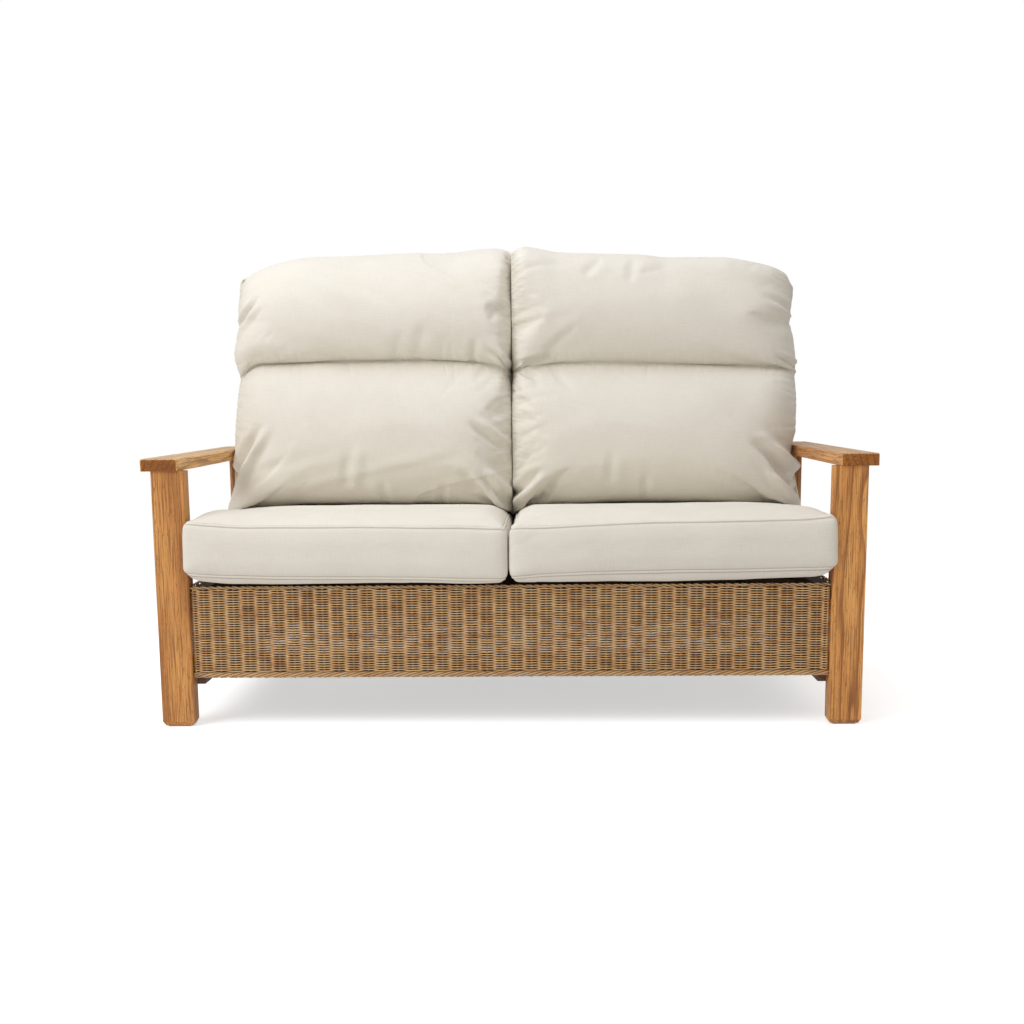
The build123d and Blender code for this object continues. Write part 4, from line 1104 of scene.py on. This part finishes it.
def gathered(away, along, span, row, seed):  # depth of gathers at a distance from a seam
    count, depth, length, slant = row
    rng = np.random.default_rng(seed)
    moved = np.zeros(len(away))
    spread = gatherSpread
    near = away < spread["reach"] * length
    away, along = away[near], along[near]
    total = np.zeros(len(away))
    for start in (np.arange(count) + rng.uniform(-spread["place"], spread["place"], count)) / count * span:
        wide = rng.uniform(*spread["width"])
        reach = length * rng.uniform(*spread["length"])
        tilt = slant + rng.uniform(-spread["slant"], spread["slant"])
        deep = depth * rng.uniform(*spread["depth"])
        aside = (along - start - tilt * away) / (wide * (1 + away / spread["widening"]))
        total += deep * np.exp(-aside ** 2 - away / reach)
    moved[near] = total * smoothStep(away, 0.0, spread["start"])
    return moved


def folded(points, rows):  # depth of the folds at each point, with a low ridge along both sides of each
    moved = np.zeros(len(points))
    for x0, z0, x1, z1, width, depth in rows:
        run = np.array([x1 - x0, z1 - z0])
        length = np.linalg.norm(run)
        away = points[:, [0, 2]] - (x0, z0)
        along = away @ run / length ** 2
        aside = (away[:, 0] * run[1] - away[:, 1] * run[0]) / length
        taper = smoothStep(along, *foldShape["start"]) * (1 - smoothStep(along, *foldShape["end"]))
        beside = np.exp(-((np.abs(aside) - foldShape["ridgePlace"] * width) / width) ** 2)
        moved += depth * taper * (np.exp(-(aside / width) ** 2) - foldShape["ridgeShare"] * beside)
    return moved


def wander(at, seed):  # slow, repeatable unevenness between -1 and 1
    knots = np.random.default_rng(seed).uniform(-1, 1, knotCount)
    cell = np.floor(at).astype(int) % (knotCount - 1)
    share = smoothStep(at - np.floor(at), 0, 1)
    return knots[cell] * (1 - share) + knots[cell + 1] * share


seamLook = {"seat": 0.0022, "back": 0.0032, "reach": 0.007}  # how deep the cloth sinks beside its piping
unevenLook = {  # bends along x, how far and how fast they wander, and depth
    "back": [(0.09, 3, 0.15, 0.0018)], "seat": [(0.13, 2, 0.2, 0.0012), (0.04, 2, 0.06, 0.0005)]}
gatherShade = {  # strength and reach from each seam
    "inner": (1.0, 0.026), "outer": (0.8, 0.030), "top": (0.6, 0.022), "foot": (0.5, 0.035),
    "waist": (0.5, 0.016)}
finishLook = {
    "frontFrom": (0.4, 0.9), "foldEdge": 0.006, "cornerReach": 0.02, "channelStep": 0.004,
    "waistSoftening": 0.01, "seamSteps": 5, "topFacing": 0.3, "topLevel": 0.40,
}
roomLook = {  # what stands round the cushions, from the middle and from the posts' front faces
    "backInner": 0.0007, "backOuter": 0.725, "armInner": 0.6940, "armFrom": (0.538, 0.549),
    "armTo": (0.586, 0.600), "frameGap": 0.0006, "seatsBelow": 0.475, "seatReach": 0.012, "seatGap": 0.0008,
    "seatInner": 0.0009, "postInner": 0.6925, "postDraw": 0.0090, "postFrom": (-0.004, -0.0005),
    "apron": 0.3095, "deckRise": 0.0038, "deckFrom": (0.012, 0.018),
}
seatTops = []  # the seats' finished tops, which the back cushions rest on


def settled(form, points):  # keeps a cushion off what stands round it
    side, room = handSides[form.hand], roomLook
    x, y, z = points[:, 0] * side, points[:, 1] - frontY, points[:, 2]
    if form.kind == "back":
        beside = smoothStep(z, *room["armFrom"]) * (1 - smoothStep(z, *room["armTo"]))
        x = np.clip(x, room["backInner"], room["backOuter"] - beside * (room["backOuter"] - room["armInner"]))
        y = np.minimum(y, framePlane(z) - room["frameGap"])
        z = z.copy()
        tree, heights = seatTops
        for at in np.nonzero(z < room["seatsBelow"])[0]:
            _, which, far = tree.find((x[at] * side, y[at] + frontY, 0))
            if far < room["seatReach"]:
                z[at] = max(z[at], heights[which] + room["seatGap"])
    else:
        x = np.clip(x, room["seatInner"], seatLook[form.hand]["widest"])
        x = np.minimum(x, room["postInner"] - room["postDraw"] * smoothStep(y, *room["postFrom"]))
        z = np.maximum(z, room["apron"] + room["deckRise"] * smoothStep(y, *room["deckFrom"]))
    return np.stack([x * side, y + frontY, z], axis=1)


def treeOf(points):  # finds the nearest of these points
    tree = KDTree(len(points))
    for at, point in enumerate(points):
        tree.insert(point, at)
    tree.balance()
    return tree


def keepValues(mesh, name, values):  # one number at each point, for the cloth's material
    layer = mesh.attributes.new(name, "FLOAT", "POINT")
    layer.data.foreach_set("value", values.astype(np.float32))


def uneven(row, x, other, bendSeed, seed):
    cell, bend, otherCell, depth = row
    return wander(x / cell + bend * wander(other / otherCell, bendSeed), seed) * depth


def backRelief(form, mesh, co, place):  # how deep each point of a back cushion sinks, and the gathers' shade
    x, z = co[:, 0], co[:, 2]
    s, t, facing = place.T
    rows, own, far = gatherLook[form.hand], backLook[form.hand], np.abs(x)
    span, tall, seed = backLook["clothWidth"], backLook["height"], rows["seed"]
    waist = z - tableAt(own["waist"], far, finishLook["waistSoftening"])
    away = {"inner": far - backLook["innerEdge"], "top": (1 - t) * tall, "foot": t * tall,
            "outer": np.maximum(tableAt(own["outer"], z, closely) - far, 0), "waist": np.abs(waist)}
    sink = gathered(away["inner"], t * tall, tall, rows["inner"], seed)
    sink += gathered(away["outer"], t * tall, tall, rows["outer"], seed + 1)
    sink += gathered(away["top"], s * span, span, rows["top"], seed + 2)
    sink += gathered(away["foot"], s * span, span, rows["foot"], seed + 3)
    stepped = s * span + (waist > 0) * finishLook["channelStep"]
    sink += gathered(away["waist"], stepped, span, rows["channel"], seed + 4)
    fromEnd = np.minimum(s, 1 - s) * span
    sink += folded(co, foldLook[form.hand]) * smoothStep(fromEnd, 0.0, finishLook["foldEdge"])
    sink -= uneven(unevenLook["back"][0], x, z, seed + 5, seed + 6)
    front = smoothStep(facing, *finishLook["frontFrom"])
    shade = {seam: most * np.exp(-away[seam] / reach) for seam, (most, reach) in gatherShade.items()}
    keepValues(mesh, "gatherAcross", front * (shade["inner"] + shade["outer"]))
    keepValues(mesh, "gatherUp", front * (shade["top"] + shade["foot"] + shade["waist"]))
    fromTips = np.minimum(t, 1 - t) * tall
    return sink * front, np.hypot(fromEnd, fromTips)


def seatRelief(form, co):
    seed = gatherLook[form.hand]["seed"]
    broad, narrow = unevenLook["seat"]
    return (uneven(broad, co[:, 0], co[:, 1], seed, seed + 1)
            + uneven(narrow, co[:, 0], co[:, 2], seed + 3, seed + 2))


def finishCushion(form, points):
    soft = bpy.data.objects.new(form.name, form.mesh(points))
    bpy.context.scene.collection.objects.link(soft)
    finer = soft.modifiers.new("finer", "SUBSURF")
    finer.levels = finer.render_levels = 1
    mesh = plainMesh(soft).data
    co, normals, place = (np.zeros(len(mesh.vertices) * 3) for _ in range(3))
    mesh.vertices.foreach_get("co", co)
    mesh.vertex_normals.foreach_get("vector", normals)
    mesh.attributes["panelPlace"].data.foreach_get("vector", place)
    co, normals, place = (values.reshape(-1, 3) for values in (co, normals, place))
    if form.kind == "back":
        sink, fromCorner = backRelief(form, mesh, co, place)
    else:
        sink = seatRelief(form, co)
    shares = np.arange(finishLook["seamSteps"]) / finishLook["seamSteps"]
    seamPoints = np.vstack([co[loop] * (1 - share) + np.roll(co[loop], -1, 0) * share
                            for loop in form.seams for share in shares])
    seamTree = treeOf(seamPoints)
    near = np.array([seamTree.find(point)[2] for point in co])
    sink += seamLook[form.kind] * np.exp(-(near / seamLook["reach"]) ** 2)
    if form.kind == "back":  # the corners stay as they are
        sink *= 1 - np.exp(-(fromCorner / finishLook["cornerReach"]) ** 2)
    keepValues(mesh, "fromSeam", near)
    co = settled(form, co - normals * sink[:, None])
    if form.kind == "seat":
        upper = (normals[:, 2] > finishLook["topFacing"]) & (co[:, 2] > finishLook["topLevel"])
        seatTops.append(co[upper])
    mesh.vertices.foreach_set("co", co.ravel())
    mesh.update()
    mesh.materials.clear()
    mesh.materials.append(cushionCloth)
    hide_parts(form.body)
    0.75 if form.kind == "back" else 0.85
    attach(soft, form.body)
    pipe(form, co)


kindLooks = {"back": backLook, "seat": seatLook}
forms = [make(hand) for make in (seatForm, backForm) for hand in handSides]
blown = [form.points for form in forms]
blown = blowUp(forms)
print("cushions blown up")
for form, points in zip(forms, blown):
    if form.kind == "back" and len(seatTops) == 2 and not isinstance(seatTops[0], KDTree):
        under = np.vstack(seatTops)
        seatTops = [treeOf(under * (1, 1, 0)), under[:, 2]]
    moved = points - form.points
    far = np.linalg.norm(moved, axis=1, keepdims=True)
    cap = kindLooks[form.kind]["cap"]
    print(form.name, len(form.points), "points moved up to", round(float(far.max()) * 1000, 1), "mm")
    finishCushion(form, form.points + moved * np.minimum(1, cap / np.maximum(far, 1e-9)))
print("cushions finished")

# Stage, light and camera

stageLook = {
    "floorColour": (0.90, 0.90, 0.90, 1), "floorSize": 30.0, "shadowReach": (1.0, 2.2), "floorLift": 0.56,
    "worldLight": 0.495, "worldColour": (1.0, 0.955, 0.905, 1), "white": (1, 1, 1, 1),
    "lamps": {  # place, what it points at, size, power and colour
        "keyLight": ((-2.6, -2.2, 2.7), (0.0, 0.0, 0.5), 2.0, 57.5, (1.0, 1.0, 1.0)),
        "topLight": ((-0.3, -0.5, 3.0), (0.0, -0.1, 0.4), 2.6, 31.0, (0.96, 1.0, 1.12))},
}


def floorFinish():
    finish = Finish("paleFloor")
    x, y, _ = finish.apart(finish.coords())
    fade = finish.between(finish.maths("SQRT", x * x + y * y), *stageLook["shadowReach"])
    matt = finish.add("ShaderNodeBsdfDiffuse", {}, {"Color": stageLook["floorColour"]})
    white, lift = (finish.add("ShaderNodeEmission", {}, {"Color": stageLook["white"], "Strength": strength})
                   for strength in (1.0, stageLook["floorLift"]))
    near = finish.add("ShaderNodeAddShader", {}, {0: matt, 1: lift})
    shown = finish.add("ShaderNodeMixShader", {}, {0: fade, 1: near, 2: white})
    finish.close(finish.add("ShaderNodeMixShader", {}, {0: finish.seenRays(), 1: matt, 2: shown}))
    return finish.material


def buildStage():
    half = stageLook["floorSize"] / 2
    mesh = bpy.data.meshes.new("floor")
    corners = [(-half, -half, 0), (half, -half, 0), (half, half, 0), (-half, half, 0)]
    mesh.from_pydata(corners, [], [(0, 1, 2, 3)])
    floor = bpy.data.objects.new("floor", mesh)
    bpy.context.scene.collection.objects.link(floor)
    mesh.materials.append(floorFinish())

    world = bpy.data.worlds.new("softSky")
    world.use_nodes = True
    sky = NodeTree(world.node_tree)
    sky.tree.nodes.clear()
    seen = sky.seenRays()
    strength = stageLook["worldLight"] + seen * (1.0 - stageLook["worldLight"])
    tint = sky.blend(seen, stageLook["worldColour"], stageLook["white"])
    glow = sky.add("ShaderNodeBackground", {}, {"Color": tint, "Strength": strength})
    output = sky.tree.nodes.new("ShaderNodeOutputWorld")
    sky.tree.links.new(glow.socket, output.inputs[0])
    bpy.context.scene.world = world

    for name, (place, aim, size, power, colour) in stageLook["lamps"].items():
        lamp = bpy.data.lights.new(name, "AREA")
        lamp.shape = "SQUARE"
        lamp.size = size
        lamp.energy = power
        lamp.color = colour
        lit = bpy.data.objects.new(name, lamp)
        lit.location = place
        lit.rotation_euler = (Vector(aim) - Vector(place)).to_track_quat("-Z", "Y").to_euler()
        bpy.context.scene.collection.objects.link(lit)


cameraLook = {  # fitted to the photograph, with y from the front faces of the front posts
    "place": (0.0704, -2.7117, 0.6953), "yaw": -0.0233, "pitch": 0.1505, "roll": -0.0095,
    "focalPixels": 1290.3, "imagePixels": 1024.0, "axisRow": 595.9, "sensor": 36.0,
}


def buildCamera():
    look = cameraLook
    yaw, pitch, roll = look["yaw"], look["pitch"], look["roll"]
    ahead = Vector((math.sin(yaw) * math.cos(pitch), math.cos(yaw) * math.cos(pitch), -math.sin(pitch)))
    level = Vector((math.cos(yaw), -math.sin(yaw), 0))
    rise = level.cross(ahead)
    right = level * math.cos(roll) + rise * math.sin(roll)
    up = rise * math.cos(roll) - level * math.sin(roll)
    data = bpy.data.cameras.new("camera")
    data.sensor_width = look["sensor"]
    data.lens = look["sensor"] * look["focalPixels"] / look["imagePixels"]
    data.shift_y = (look["axisRow"] - look["imagePixels"] / 2) / look["imagePixels"]
    camera = bpy.data.objects.new("camera", data)
    turn = Matrix((right, up, -ahead)).transposed().to_4x4()
    place = Vector(look["place"]) + Vector((0, frontY, 0))
    camera.matrix_world = Matrix.Translation(place) @ turn
    bpy.context.scene.collection.objects.link(camera)
    bpy.context.scene.camera = camera


buildStage()
buildCamera()
bpy.context.scene.view_settings.view_transform = "Standard"
print("stage, light and camera ready")
